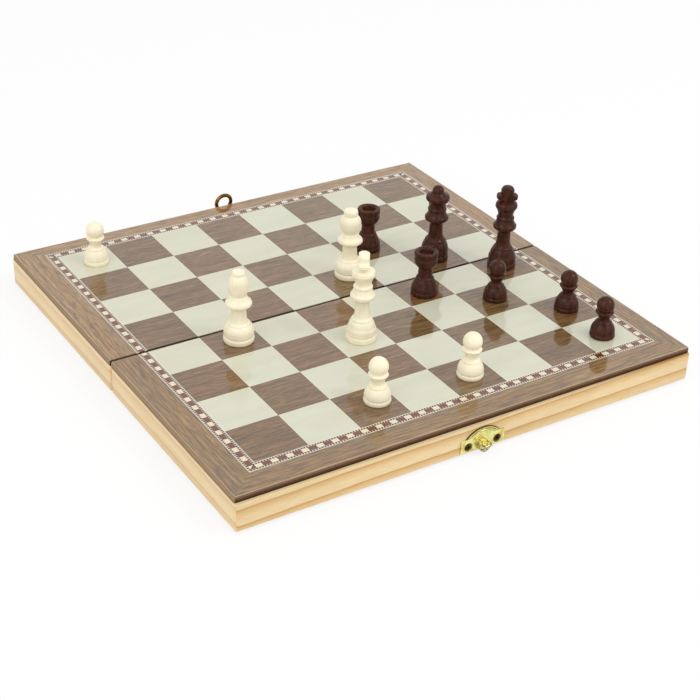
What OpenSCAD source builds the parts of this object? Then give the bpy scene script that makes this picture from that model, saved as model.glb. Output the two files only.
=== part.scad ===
// Folding wooden games box, lying open with the chess board uppermost.
// Two shallow pine trays meet at the fold. Their backs carry the veneered
// chess board, their insides the backgammon field. A brass hasp on the rear
// wall snaps over a catch on the front wall when the box is folded shut.
// X runs along the fold, Y from the catch to the hasp, Z up.

/* [Box] */
// Length of the box along the fold
board_w = 290; // [240:1:400]
// Depth of one half, from the fold to its outer wall
half_d = 143.5; // [130:0.5:200]
// Gap between the two halves at the fold
fold_gap = 0.6; // [0.2:0.1:1.5]
// Gap that is left between the rims when the box is shut
rim_gap = 0.2; // [0.1:0.1:0.6]
// Height of the pine rails
rail_h = 16.5; // [14:0.5:25]
// Thickness of the pine rails
rail_t = 10; // [8:0.5:12]
// Radius of the box's upright corners
corner_r = 2; // [1:0.5:4]
// Bevel on the lower edges of the rails
rim_bevel = 0.7; // [0.3:0.1:1.2]
// Thickness of the plywood panel that closes a tray
panel_t = 3; // [2.5:0.1:4]
// Rounding of the panel's top edge
panel_round = 0.5; // [0.3:0.1:1.2]
// Set-back of the panel from the front and rear walls
panel_step = 1.6; // [0:0.1:2.5]
// Set-back of the panel from the left and right rails
panel_side_step = 0.2; // [0:0.1:1]

/* [Chess veneer] */
// Side of one chess square
square = 31; // [26:0.5:32]
// Thickness of the veneer
veneer_t = 0.5; // [0.4:0.1:0.8]
// Set-back of the veneer from the panel's outer edges
veneer_inset = 0.5; // [0.3:0.1:1.5]
// Set-back of the veneer from the fold
fold_inset = 0.7; // [0.2:0.1:1.2]
// What the saw took out of the veneered sheet at the fold
saw_loss = 1.9; // [0:0.1:4]
// How far the pattern sits to the right of the board's middle
print_dx = 1.7; // [-3:0.1:3]
// How far the pattern sits behind the fold
print_dy = 1.9; // [-3:0.1:3]
// Width of each checked line beside the mosaic
string_w = 1.4; // [0.6:0.1:1.8]
// Width of the row of mosaic tiles
tile_w = 3.5; // [3:0.1:6]
// Tiles between two corners, an odd number
tile_n = 57; // [41:2:81]
// Width of the mitre joint between two runs of tiles
mitre_gap = 0.2; // [0.1:0.1:0.4]

/* [Backgammon field] */
// Thickness of the lining inside a tray
lining_t = 0.5; // [0.4:0.1:1]
// Length of a backgammon point
point_l = 106; // [80:1:118]
// Set-back of a point's base from the wall
point_gap = 1.5; // [0.5:0.5:4]

/* [Fold hinges] */
// Distance of each hinge from the middle
hinge_x = 88; // [50:1:110]
// Length of a hinge
hinge_l = 25; // [18:1:35]
// Reach of a leaf from the fold
leaf_reach = 8.6; // [7:0.1:9]
// Thickness of a leaf
leaf_t = 1; // [0.8:0.1:1.2]
// Outer radius of the knuckles
knuckle_r = 1.25; // [1.1:0.05:1.5]
// Length of the middle knuckle
mid_knuckle_l = 9; // [6:0.5:12]
// Radius of the hinge pins
pin_r = 0.65; // [0.5:0.05:0.8]
// Radial play of a pin in its knuckles
pin_play = 0.05; // [0.02:0.01:0.1]
// Distance between the two screws of a leaf
leaf_screw_pitch = 16; // [10:0.5:18]

/* [Catch and hasp] */
// How far the catch and hasp sit to the right of the box's middle
fitting_x = 1; // [-3:0.1:3]
// Height of the plates' lower edge above the rim
plate_lift = 1.5; // [0:0.1:2]
// Width of the catch and hasp plates
plate_w = 28; // [24:0.5:32]
// Height of a plate's ears
ear_h = 7.8; // [7:0.1:9]
// Height of a plate's domed middle
dome_h = 12.9; // [11:0.1:15]
// Width of the domed middle where it leaves the ears
dome_w = 22; // [18:0.5:24]
// Thickness of the plates
plate_t = 0.8; // [0.6:0.1:1.2]
// Distance between a plate's two screws
plate_screw_pitch = 18.5; // [16:0.5:22]
// Height of those screws above a plate's lower edge
plate_screw_h = 3.1; // [2.5:0.1:4]
// Radius of those screws' heads
plate_head_r = 2.2; // [1.7:0.1:2.4]
// Height of the middle of the catch's boss above the rim
boss_h = 3.6; // [3.6:0.1:6]
// Radius of the boss, which the ring sits round
boss_r = 3.5; // [3:0.05:3.5]
// How far the catch sticks out from the wall
catch_reach = 6.3; // [5:0.1:8]
// Height of the hasp's pivot above the rim
pivot_h = 8.3; // [7.5:0.1:9]
// Distance of the hasp's pivot from the wall
pivot_out = 2.6; // [2.4:0.1:3.5]
// Mean radius of the hasp's ring
ring_r = 5.2; // [5:0.05:6]
// Radius of the ring's wire
ring_wire_r = 1.2; // [0.9:0.05:1.2]
// Set-back of a plate's raised rib from the edge of its dome
rib_inset = 1.7; // [1.2:0.1:3]
// Radius of that rib
rib_r = 0.45; // [0.3:0.05:0.6]
// How far the raised hasp leans in against the wall, in degrees
hasp_lean = 5.4; // [3:0.1:6]

/* [Screws] */
// Radius of a screw's head
head_r = 1.7; // [1.4:0.1:2]
// Depth of the countersunk head
head_h = 0.9; // [0.6:0.1:1.2]
// Radius of a screw's shank
shank_r = 0.8; // [0.6:0.05:1]
// Length of a screw
screw_l = 8; // [6:0.5:9]

/* [Chessmen] */
// Straight pieces to each curved stroke of a turned profile
stroke_steps = 6; // [3:1:12]
// Thickness of the flattened finial on a king
finial_t = 6; // [4:0.5:8]
// Turn of the white king's finial about the upright, in degrees
white_finial_turn = 58; // [0:1:180]
// Turn of the dark king's finial about the upright, in degrees
dark_finial_turn = 147; // [0:1:180]
// Width of the dark pawns against the white ones
dark_pawn_wide = 0.97; // [0.9:0.01:1.1]
// Height of the dark pawns against the white ones
dark_pawn_tall = 0.935; // [0.9:0.005:1.1]
// Height of the dark king against the white one
dark_king_tall = 0.98; // [0.9:0.01:1.1]

/* [Hidden] */

$fn = 96;
eps = 0.01;
front = -1;
rear = 1;

// The halves, measured from the fold, with the rims at height 0
half_w = board_w / 2;
y_in = fold_gap / 2;
y_out = y_in + half_d;
core_top = rail_h + panel_t;
board_top = core_top + veneer_t;
axis_z = -rim_gap / 2;

// The chess pattern
grid_half = 4 * square;
tile_in = grid_half + string_w;
tile_out = tile_in + tile_w;
band_out = tile_out + string_w;
tile_l = 2 * tile_in / tile_n;
panel_x = half_w - panel_side_step;
panel_y = y_out - panel_step;
panel_corner_r = 1;
veneer_x = panel_x - veneer_inset;
veneer_y = panel_y - veneer_inset;
veneer_fold = y_in + fold_inset;

// The backgammon field
tray_x = half_w - rail_t;
tray_in = y_in + rail_t;
tray_out = y_out - rail_t;
point_n = 6;
point_w = (tray_out - tray_in) / point_n;

// Hinges and hasp
moving_gap = 0.3;
knuckle_gap = 0.2;
leaf_screw_y = 0.6 * leaf_reach;
end_knuckle_l = (hinge_l - mid_knuckle_l) / 2 - knuckle_gap;
pin_bore_r = pin_r + pin_play;
pin_head_r = knuckle_r - 0.15;
pin_head_l = 0.4;
lug_t = 0.9;
lug_gap = 5.2;
lug_r = 1.5;
hasp_knuckle_r = 1.4;
hasp_knuckle_l = lug_gap - 2 * moving_gap;
shank_w = 3.6;
shank_t = 1.2;
hasp_reach = pivot_h + boss_h + rim_gap;

// The origin is under the middle of the whole open box
front_reach = y_out + catch_reach;
rear_reach = y_out + pivot_out + lug_r;
lift_z = knuckle_r - axis_z;
shift_y = (front_reach - rear_reach) / 2;

pine = [0.90, 0.77, 0.55];
brown_edge = [0.33, 0.21, 0.15];
walnut = [0.42, 0.32, 0.26];
cream = [0.85, 0.84, 0.75];
tile_red = [0.52, 0.22, 0.16];
tile_cream = [0.93, 0.89, 0.75];
ebony = [0.10, 0.09, 0.09];
lining_tan = [0.66, 0.49, 0.32];
brass = [0.80, 0.66, 0.30];
boxwood = [0.93, 0.85, 0.66];
stained = [0.17, 0.08, 0.06];

// ---- Helpers ----

// From the fold and rims to the origin
module placed() {
    translate([0, shift_y, lift_z]) children();
}

// A block between two corners
module block(low, high) {
    translate(low) cube(high - low);
}

// A rectangle with round corners, between two corners
module round_rect(low, high, r) {
    translate([low.x + r, low.y]) square([high.x - low.x - 2 * r, high.y - low.y]);
    translate([low.x, low.y + r]) square([high.x - low.x, high.y - low.y - 2 * r]);
    for (x = [low.x + r, high.x - r], y = [low.y + r, high.y - r])
        translate([x, y]) circle(r);
}

// The plan of one half, from its lowest to its highest Y
function half_low(side) = side == front ? -y_out : y_in;
function half_high(side) = side == front ? -y_in : y_out;

module half_plan(side) {
    round_rect([-half_w, half_low(side)], [half_w, half_high(side)], corner_r);
}

// A quarter round from [a, b - r] to [a - r, b] in the upper right corner [a, b]
function top_right_round(a, b, r, steps = 5) =
    [for (i = [0 : steps]) [a - r + r * cos(90 * i / steps), b - r + r * sin(90 * i / steps)]];

// ---- Trays ----

// A rail's plan with mitred ends, drawn for the rear half
module rail_plan(which) {
    if (which == "wall")
        polygon([[-half_w, y_out], [half_w, y_out], [tray_x, tray_out], [-tray_x, tray_out]]);
    else if (which == "fold")
        polygon([[-half_w, y_in], [half_w, y_in], [tray_x, tray_in], [-tray_x, tray_in]]);
    else
        polygon([[half_w, y_in], [half_w, y_out], [tray_x, tray_out], [tray_x, tray_in]]);
}

// A rail's section, from its outer face at 0 inwards, with bevelled lower edges
module rail_section() {
    polygon([
        [0, rim_bevel], [rim_bevel, 0], [rail_t - rim_bevel, 0], [rail_t, rim_bevel],
        [rail_t, rail_h], [0, rail_h],
    ]);
}

// The section drawn out along X or Y, with its outer face towards +Y or +X
module rail_along_x(y_face, inwards) {
    translate([-half_w, y_face, 0])
        rotate([90, 0, 90])
            linear_extrude(board_w) scale([inwards, 1]) rail_section();
}

module rail_along_y(x_face, inwards) {
    translate([x_face, y_out, 0])
        rotate([90, 0, 0])
            linear_extrude(half_d) scale([inwards, 1]) rail_section();
}

module rear_rail(which) {
    intersection() {
        linear_extrude(rail_h) intersection() {
            rail_plan(which);
            half_plan(rear);
        }
        if (which == "wall") rail_along_x(y_out, -1);
        else if (which == "fold") rail_along_x(y_in, 1);
        else rail_along_y(half_w, -1);
    }
}

// Front rails mirror the rear ones, and left rails the right ones
module rail(side, which, hand = 1) {
    color(pine) placed()
        mirror([0, side == front ? 1 : 0, 0])
            mirror([hand < 0 ? 1 : 0, 0, 0])
                difference() {
                    rear_rail(which);
                    if (which == "fold") hinge_mortises();
                }
}

// What is cut from the rear fold rail for the hinges
module hinge_mortises() {
    for (x = [-hinge_x, hinge_x]) {
        block([x - hinge_l / 2 - 0.1, -eps, -eps], [x + hinge_l / 2 + 0.1, leaf_reach + 0.1, leaf_t]);
        translate([x - hinge_l / 2 - 1, 0, axis_z])
            rotate([0, 90, 0])
                cylinder(r = knuckle_r + moving_gap, h = hinge_l + 2);
    }
}

// The plywood panel, a little smaller than its tray, with a rounded top edge
module panel(side) {
    low = side == front ? -panel_y : y_in;
    high = side == front ? -y_in : panel_y;
    right_round = top_right_round(panel_x, core_top, panel_round);
    x_profile = concat(
        [[-panel_x, rail_h], [panel_x, rail_h]],
        right_round,
        [for (i = [len(right_round) - 1 : -1 : 0]) [-right_round[i].x, right_round[i].y]]
    );
    y_profile = concat(
        [[y_in, rail_h], [panel_y, rail_h]],
        top_right_round(panel_y, core_top, panel_round),
        [[y_in + fold_inset, core_top], [y_in, core_top - fold_inset]]
    );
    color(brown_edge) placed()
        intersection() {
            translate([0, 0, rail_h])
                linear_extrude(panel_t)
                    round_rect([-panel_x, low], [panel_x, high], panel_corner_r);
            translate([0, side * (y_out + 1), 0])
                rotate([90, 0, 0])
                    mirror([0, 0, side == front ? 1 : 0])
                        linear_extrude(half_d + 2) polygon(x_profile);
            translate([-half_w - 1, 0, 0])
                rotate([90, 0, 90])
                    mirror([side == front ? 1 : 0, 0, 0])
                        linear_extrude(board_w + 2) polygon(y_profile);
        }
}

// ---- Backgammon field ----

// One point, its base at the wall on the +X or -X side, counted from the fold
module point_plan(side, hand, i) {
    y0 = tray_in + i * point_w;
    base = tray_x - point_gap;
    polygon([
        [hand * base, side * y0], [hand * base, side * (y0 + point_w)],
        [hand * (base - point_l), side * (y0 + point_w / 2)],
    ]);
}

// Every other point is dark, and the colours change over across the field
module points_plan(side, parity) {
    for (hand = [-1, 1], i = [0 : point_n - 1])
        if ((i + (hand > 0 ? 1 : 0)) % 2 == parity) point_plan(side, hand, i);
}

module points(side, parity, tone) {
    color(tone) placed()
        translate([0, 0, rail_h - lining_t])
            linear_extrude(lining_t) points_plan(side, parity);
}

module lining(side) {
    low = side == front ? -tray_out : tray_in;
    color(lining_tan) placed()
        translate([0, 0, rail_h - lining_t])
            linear_extrude(lining_t)
                difference() {
                    translate([-tray_x, low]) square([2 * tray_x, tray_out - tray_in]);
                    points_plan(side, 0);
                    points_plan(side, 1);
                }
}

// ---- Chess veneer ----

// The pattern was sawn apart at the fold, so each half of it moved in
function pattern_y(side) = print_dy - side * saw_loss / 2;

// A plan cut from the veneer of one half
module veneer(side, tone) {
    low = side == front ? -veneer_y : veneer_fold;
    high = side == front ? -veneer_fold : veneer_y;
    color(tone) placed()
        translate([0, 0, core_top])
            linear_extrude(veneer_t)
                intersection() {
                    translate([-veneer_x, low]) square([2 * veneer_x, high - low]);
                    translate([print_dx, pattern_y(side)]) children();
                }
}

// The squares of one colour in the four rows of one half, counted from the front left
module squares(side, parity, tone) {
    first = side == front ? 0 : 4;
    color(tone) placed()
        for (i = [0 : 7], j = [first : first + 3])
            if ((i + j) % 2 == parity) {
                y0 = (j - 4) * square + pattern_y(side);
                low = side == rear ? max(y0, veneer_fold) : y0;
                high = side == front ? min(y0 + square, -veneer_fold) : y0 + square;
                block([print_dx + (i - 4) * square, low, core_top],
                      [print_dx + (i - 3) * square, high, board_top]);
            }
}

// A square ring around the middle of the pattern
module ring_plan(inner, outer) {
    difference() {
        square(2 * outer, center = true);
        square(2 * inner, center = true);
    }
}

module stringing(side) {
    veneer(side, ebony) {
        ring_plan(grid_half, tile_in);
        ring_plan(tile_out, band_out);
    }
}

// Tiles of one colour, in four runs of tiles side by side. The front and rear runs begin and
// end with a cream tile, the left and right runs with a red one. At a corner, where two runs
// meet in a mitre, each goes on in its other colour.
module tiles_plan(is_cream) {
    for (turn = [0 : 90 : 270]) rotate(turn) {
        is_first = (turn % 180 == 0) == is_cream;
        for (k = [0 : tile_n - 1])
            if ((k % 2 == 0) == is_first)
                translate([-tile_in + k * tile_l, tile_in]) square([tile_l, tile_w]);
        if (!is_first)
            for (hand = [-1, 1])
                polygon([
                    [hand * tile_in, tile_in + mitre_gap], [hand * tile_in, tile_out],
                    [hand * (tile_out - mitre_gap), tile_out],
                ]);
    }
}

module tiles(side, is_cream, tone) {
    veneer(side, tone) tiles_plan(is_cream);
}

// Border strips with mitred corners
module border(side) {
    far = side * veneer_y;
    near = side * veneer_fold;
    band_y = side * band_out + pattern_y(side);
    left = print_dx - band_out;
    right = print_dx + band_out;
    color(walnut) placed()
        translate([0, 0, core_top])
            linear_extrude(veneer_t) {
                polygon([[-veneer_x, far], [veneer_x, far], [right, band_y], [left, band_y]]);
                polygon([[-veneer_x, far], [left, band_y], [left, near], [-veneer_x, near]]);
                polygon([[veneer_x, far], [right, band_y], [right, near], [veneer_x, near]]);
            }
}

// ---- Screws ----

// A countersunk screw, its head's face at the origin and its point towards -Z
module screw(r = head_r) {
    slot_w = 0.45;
    slot_l = 1.3 * r;
    slot_d = 0.7 * head_h;
    difference() {
        rotate_extrude()
            polygon([
                [0, -screw_l], [shank_r, -screw_l + 2 * shank_r], [shank_r, -head_h],
                [r, 0], [0, 0],
            ]);
        block([-slot_l / 2, -slot_w / 2, -slot_d], [slot_l / 2, slot_w / 2, 1]);
        block([-slot_w / 2, -slot_l / 2, -slot_d], [slot_w / 2, slot_l / 2, 1]);
    }
}

// The hole that such a head sits in, with its mouth at the origin
module countersink(depth, r = head_r) {
    translate([0, 0, -head_h]) cylinder(r1 = shank_r + 0.05, r2 = r + 0.05, h = head_h);
    translate([0, 0, -depth]) cylinder(r = shank_r + 0.05, h = depth);
    translate([0, 0, -eps]) cylinder(r = r + 0.05, h = 1);
}

// ---- Fold hinges ----

// A knuckle along X, drilled for the pin
module knuckle(x, length) {
    translate([x, 0, axis_z])
        rotate([0, 90, 0])
            difference() {
                cylinder(r = knuckle_r, h = length);
                translate([0, 0, -eps]) cylinder(r = pin_bore_r, h = length + 2 * eps);
            }
}

// A leaf in the +Y half: from..to lists the stretches of X where its own knuckles stand
module leaf(own, others) {
    difference() {
        union() {
            block([-hinge_l / 2, pin_bore_r + 0.1, 0], [hinge_l / 2, leaf_reach, leaf_t]);
            for (s = own) knuckle(s[0], s[1] - s[0]);
        }
        for (s = others)
            block([s[0] - knuckle_gap, -eps, -knuckle_r * 2],
                  [s[1] + knuckle_gap, knuckle_r + moving_gap, leaf_t + eps]);
        for (x = [-leaf_screw_pitch / 2, leaf_screw_pitch / 2])
            translate([x, leaf_screw_y, 0]) rotate([180, 0, 0]) countersink(leaf_t + eps);
    }
}

end_stretches = [
    [-hinge_l / 2, -hinge_l / 2 + end_knuckle_l],
    [hinge_l / 2 - end_knuckle_l, hinge_l / 2],
];
mid_stretch = [[-mid_knuckle_l / 2, mid_knuckle_l / 2]];

module hinge_leaves(side) {
    color(brass) placed()
        for (x = [-hinge_x, hinge_x])
            translate([x, 0, 0])
                if (side == front) mirror([0, 1, 0]) leaf(end_stretches, mid_stretch);
                else leaf(mid_stretch, end_stretches);
}

module hinge_pins() {
    color(brass) placed()
        for (x = [-hinge_x, hinge_x])
            translate([x - hinge_l / 2, 0, axis_z])
                rotate([0, 90, 0]) {
                    cylinder(r = pin_r, h = hinge_l);
                    for (z = [-pin_head_l, hinge_l])
                        translate([0, 0, z]) cylinder(r = pin_head_r, h = pin_head_l);
                }
}

module hinge_screws(side) {
    color(brass) placed()
        for (x = [-hinge_x, hinge_x], dx = [-leaf_screw_pitch / 2, leaf_screw_pitch / 2])
            translate([x + dx, side * leaf_screw_y, 0]) rotate([180, 0, 0]) screw();
}

// ---- Catch and hasp ----

// Draws what stands on a wall: X along the wall, Y up, Z out of the wall
module on_wall(side) {
    placed()
        translate([fitting_x, side * y_out, 0])
            rotate([90, 0, side == front ? 0 : 180])
                children();
}

// A plate with square ears and a domed middle
dome_rise = dome_h - ear_h;
dome_r = (pow(dome_w / 2, 2) + dome_rise * dome_rise) / (2 * dome_rise);

module plate_plan() {
    translate([-plate_w / 2, 0]) square([plate_w, ear_h]);
    intersection() {
        translate([0, dome_h - dome_r]) circle(dome_r);
        translate([-dome_w / 2, ear_h - eps]) square([dome_w, dome_h]);
    }
}

// The rib that is pressed into the plate follows its dome
module plate_rib() {
    rib_w = dome_w - 4 * rib_inset;
    intersection() {
        translate([0, dome_h - dome_r, plate_t])
            rotate_extrude() translate([dome_r - rib_inset, 0]) circle(rib_r);
        block([-rib_w / 2, ear_h, plate_t / 2], [rib_w / 2, dome_h, plate_t + 2 * rib_r]);
    }
}

module plate() {
    difference() {
        linear_extrude(plate_t) plate_plan();
        for (x = [-plate_screw_pitch / 2, plate_screw_pitch / 2])
            translate([x, plate_screw_h, plate_t]) countersink(plate_t + eps, plate_head_r);
    }
}

module plate_screws(side) {
    color(brass) on_wall(side)
        for (x = [-plate_screw_pitch / 2, plate_screw_pitch / 2])
            translate([x, plate_lift + plate_screw_h, plate_t]) screw(plate_head_r);
}

module catch_plate() {
    color(brass) on_wall(front)
        translate([0, plate_lift, 0]) {
            plate();
            plate_rib();
        }
}

// A round boss, cut flat on top, with a rounded bill that the ring snaps over
module catch_boss() {
    flat_h = 2.4;
    bill_r = 0.7;
    bill_l = 4.8;
    bill_z = catch_reach - bill_r;
    color(brass) on_wall(front)
        translate([0, boss_h, 0]) {
            intersection() {
                translate([0, 0, plate_t])
                    rotate_extrude()
                        polygon([
                            [0, 0], [boss_r, 0], [boss_r, 2.2], [boss_r - 0.2, 2.7], [boss_r - 0.8, 3.1],
                            [boss_r - 1.7, 3.3], [0, 3.4],
                        ]);
                block([-boss_r - 1, -boss_r - 1, 0], [boss_r + 1, flat_h, catch_reach]);
            }
            translate([-bill_l / 2, flat_h - bill_r, bill_z])
                rotate([0, 90, 0]) cylinder(r = bill_r, h = bill_l);
            block([-bill_l / 2, flat_h - 2 * bill_r, plate_t], [bill_l / 2, flat_h, bill_z]);
        }
}

// The hasp's plate carries two lugs for the pivot pin
module hasp_plate() {
    color(brass) on_wall(rear) {
        translate([0, plate_lift, 0]) plate();
        for (x = [-lug_gap / 2 - lug_t, lug_gap / 2])
            difference() {
                union() {
                    translate([x, pivot_h, pivot_out]) rotate([0, 90, 0]) cylinder(r = lug_r, h = lug_t);
                    block([x, pivot_h - lug_r, plate_t - eps], [x + lug_t, pivot_h + lug_r, pivot_out]);
                }
                translate([x - eps, pivot_h, pivot_out])
                    rotate([0, 90, 0]) cylinder(r = pin_bore_r, h = lug_t + 2 * eps);
            }
    }
}

module hasp_pin() {
    span = lug_gap + 2 * lug_t;
    color(brass) on_wall(rear)
        translate([-span / 2, pivot_h, pivot_out])
            rotate([0, 90, 0]) {
                cylinder(r = pin_r, h = span);
                for (z = [-pin_head_l, span])
                    translate([0, 0, z]) cylinder(r = pin_head_r, h = pin_head_l);
            }
}

// Knuckle, flat shank and ring, raised and leaning in against the wall
module hasp_ring() {
    color(brass) on_wall(rear)
        translate([0, pivot_h, pivot_out])
            rotate([-hasp_lean, 0, 0])
                difference() {
                    union() {
                        translate([-hasp_knuckle_l / 2, 0, 0])
                            rotate([0, 90, 0]) cylinder(r = hasp_knuckle_r, h = hasp_knuckle_l);
                        block([-shank_w / 2, 0, -shank_t / 2],
                              [shank_w / 2, hasp_reach - ring_r, shank_t / 2]);
                        translate([0, hasp_reach, 0])
                            rotate_extrude() translate([ring_r, 0]) circle(ring_wire_r);
                    }
                    translate([-hasp_knuckle_l, 0, 0])
                        rotate([0, 90, 0]) cylinder(r = pin_bore_r, h = 2 * hasp_knuckle_l);
                }
}

// ---- Chessmen ----

// Points of the arc from p to q whose middle stands s to the right of the chord
function arc(p, q, s) =
    s == 0 ? [q] :
    let (
        chord = norm(q - p),
        along = (q - p) / chord,
        out = [along.y, -along.x],
        half = 2 * atan(2 * s / chord),
        r = chord / (2 * sin(half)),
        mid = (p + q) / 2,
        centre = mid - out * r * cos(half)
    )
    [for (k = [1 : stroke_steps])
        let (a = half * (2 * k / stroke_steps - 1)) centre + r * (sin(a) * along + cos(a) * out)];

// A profile is a list of strokes [radius, height, bulge], from the foot to the crown
function outline(strokes) = [
    [0, strokes[0].y],
    [strokes[0].x, strokes[0].y],
    for (i = [1 : len(strokes) - 1])
        let (p = strokes[i - 1], q = strokes[i])
        each arc([p.x, p.y], [q.x, q.y], len(q) > 2 ? q.z : 0),
];

module turned(strokes) {
    rotate_extrude() polygon(outline(strokes));
}

pawn = [
    [7, 0], [7.4, 0.6, 0.1], [7.4, 2.1, 0.1], [6.9, 2.8, 0], [7.2, 4.1, 0.15], [5, 9.2, 0.5],
    [4.8, 10.1, 0.15], [4, 10.5, 0], [3.4, 11.6, -0.15], [3.6, 13.2, -0.1], [5.2, 16.2, -0.1],
    [5.4, 16.8, 0.15], [4.8, 17.4, 0.05], [4.1, 17.8, 0], [0, 26.7, 3.1],
];

rook = [
    [7.4, 0], [7.9, 0.6, 0.1], [7.9, 2.4, 0.1], [7.4, 3.1, 0], [7.7, 4.5, 0.15], [7.2, 6.2, 0.15],
    [5.3, 10.4, 0.15], [5.1, 11.3, 0.15], [4.5, 11.8, 0], [4.2, 14.8, -0.1], [4.3, 17.4, -0.1],
    [5.5, 18.9, -0.15], [6.5, 20.6, 0.15], [6.8, 22.4, 0.15], [6.7, 23.6, 0.1], [6.3, 24.2, 0],
    [6.9, 24.9, 0.1], [7, 26.9, 0.05], [6.4, 27.9, 0.25], [4.8, 27.9, 0.1], [4, 27.0, 0.15],
    [3.5, 25.4, 0], [0, 25.2, 0],
];

bishop = [
    [8.2, 0], [8.7, 0.7, 0.15], [8.7, 2.7, 0.1], [8.1, 3.5, 0], [8.5, 5.4, 0.2], [6.5, 10.8, 0.8],
    [6.1, 11.6, 0.1], [5.2, 12.2, 0], [4.4, 16.0, -0.2], [4.2, 20.0, 0], [4.6, 21.0, 0],
    [7, 22.6, -0.1], [7.5, 23.8, 0.2], [7, 25.0, 0.1], [5, 27.4, -0.2], [4.4, 28.4, 0.1],
    [4.5, 29.2, 0],
];

slim_head = [
    [5.5, 34.6, 0.35], [3.2, 41.0, 0.85], [3.6, 41.6, 0.1], [3.5, 42.7, 0.1], [2.8, 43.3, 0.2],
    [0, 43.5, 0],
];

round_head = [
    [6.1, 34.0, 0.45], [3.8, 40.0, 1], [4.2, 40.7, 0.1], [4.1, 42.6, 0.1], [3.4, 43.3, 0.2],
    [0, 43.6, 0],
];

queen = [
    [7.9, 0], [8.4, 0.7, 0.15], [8.4, 2.7, 0.1], [7.8, 3.5, 0], [8.2, 5.4, 0.2], [6.5, 12.2, 0.6],
    [6, 13.6, 0.15], [5, 14.4, 0], [4.2, 19.0, -0.2], [4.1, 23.6, 0], [4.5, 24.6, 0],
    [6.7, 26.4, -0.1], [7.2, 27.8, 0.2], [6.8, 29.0, 0.2], [5.6, 31.0, -0.1], [5.1, 32.2, 0],
    [5.6, 32.9, 0.15], [5.5, 34.2, 0.15], [5.1, 34.8, 0], [5.2, 36.8, -0.05], [6.9, 39.6, -0.15],
    [7.2, 41.0, 0.2], [6.8, 42.3, 0.15], [6.2, 42.6, 0.05], [4.6, 43.6, -0.2], [3.4, 44.6, 0],
    [3.6, 45.2, 0.1], [0, 48.7, 1.05],
];

king = [
    [8.2, 0], [8.6, 0.7, 0.15], [8.6, 2.8, 0.1], [8, 3.6, 0], [8.3, 5.6, 0.2], [7.6, 8.6, 0.3],
    [5.9, 12.6, 0.3], [5.6, 13.6, 0.15], [4.9, 14.3, 0], [4.1, 19.0, -0.2], [4, 23.4, 0],
    [4.4, 24.4, 0], [6.5, 26.2, -0.1], [7, 27.7, 0.2], [6.6, 28.9, 0.2], [5.6, 30.7, -0.1],
    [5, 32.0, 0], [5.3, 32.8, 0.15], [5.2, 33.9, 0.15], [4.6, 34.6, 0], [4.9, 37.0, -0.15],
    [6.2, 40.0, -0.1], [6.5, 41.7, 0.3], [5.8, 43.4, 0.25], [3.9, 44.2, 0.1], [3.9, 44.8, 0],
    [0, 44.9, 0],
];

finial = [
    [3.3, 44.0], [3.3, 45.3, 0], [5.8, 46.1, 0], [6.3, 47.3, 0.35], [5.8, 48.5, 0.35], [4, 49.0, 0],
    [3.9, 50.6, 0], [3.4, 52.9, 0.35], [2.2, 53.9, 0.25], [0, 54.2, 0.05],
];

// A profile made wider and taller by two factors
function resized(strokes, wide, tall) =
    [for (s = strokes) len(s) > 2 ? [wide * s.x, tall * s.y, tall * s.z] : [wide * s.x, tall * s.y]];

// A king's finial is turned with the rest and then milled flat on two sides
module king_form(turn, tall = 1) {
    turned(resized(king, 1, tall));
    rotate(turn)
        intersection() {
            turned(resized(finial, 1, tall));
            translate([-10, -finial_t / 2, 40]) cube([20, finial_t, 20]);
        }
}

// Places on the board, in squares from the pattern's middle and from the fold
module chessman(tone, x, y) {
    color(tone) placed()
        translate([print_dx + x * square, y * square, board_top]) children();
}

module white_king() { chessman(boxwood, -0.45, -1.44) king_form(white_finial_turn); }
module white_bishop_near() { chessman(boxwood, -2.41, -0.43) turned(concat(bishop, slim_head)); }
module white_bishop_far() { chessman(boxwood, 0.62, 0.71) turned(concat(bishop, round_head)); }
module white_pawn_near() { chessman(boxwood, -1.32, -3.34) turned(pawn); }
module white_pawn_right() { chessman(boxwood, 0.55, -3.43) turned(pawn); }
module white_pawn_far() { chessman(boxwood, -3.43, 3.51) turned(pawn); }
module dark_king() { chessman(stained, 3.49, -0.37) king_form(dark_finial_turn, dark_king_tall); }
module dark_queen() { chessman(stained, 2.5, 0.53) turned(queen); }
module dark_rook_near() { chessman(stained, 1.5, -0.59) turned(rook); }
module dark_rook_far() { chessman(stained, 1.53, 1.48) turned(rook); }
module dark_pawn(x, y) { chessman(stained, x, y) turned(resized(pawn, dark_pawn_wide, dark_pawn_tall)); }
module dark_pawn_inner() { dark_pawn(2.58, -1.4); }
module dark_pawn_middle() { dark_pawn(3.53, -2.37); }
module dark_pawn_outer() { dark_pawn(3.48, -3.48); }

// ---- The object ----

rail(front, "wall");  // front_wall
rail(front, "end", -1);  // front_left_rail
rail(front, "end");  // front_right_rail
rail(front, "fold");  // front_fold_rail
panel(front);  // front_panel
lining(front);  // front_lining
points(front, 0, walnut);  // front_dark_points
points(front, 1, cream);  // front_light_points
squares(front, 0, walnut);  // front_dark_squares
squares(front, 1, cream);  // front_light_squares
stringing(front);  // front_stringing
tiles(front, false, tile_red);  // front_red_tiles
tiles(front, true, tile_cream);  // front_cream_tiles
border(front);  // front_border

rail(rear, "wall");  // rear_wall
rail(rear, "end", -1);  // rear_left_rail
rail(rear, "end");  // rear_right_rail
rail(rear, "fold");  // rear_fold_rail
panel(rear);  // rear_panel
lining(rear);  // rear_lining
points(rear, 0, walnut);  // rear_dark_points
points(rear, 1, cream);  // rear_light_points
squares(rear, 0, walnut);  // rear_dark_squares
squares(rear, 1, cream);  // rear_light_squares
stringing(rear);  // rear_stringing
tiles(rear, false, tile_red);  // rear_red_tiles
tiles(rear, true, tile_cream);  // rear_cream_tiles
border(rear);  // rear_border

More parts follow.
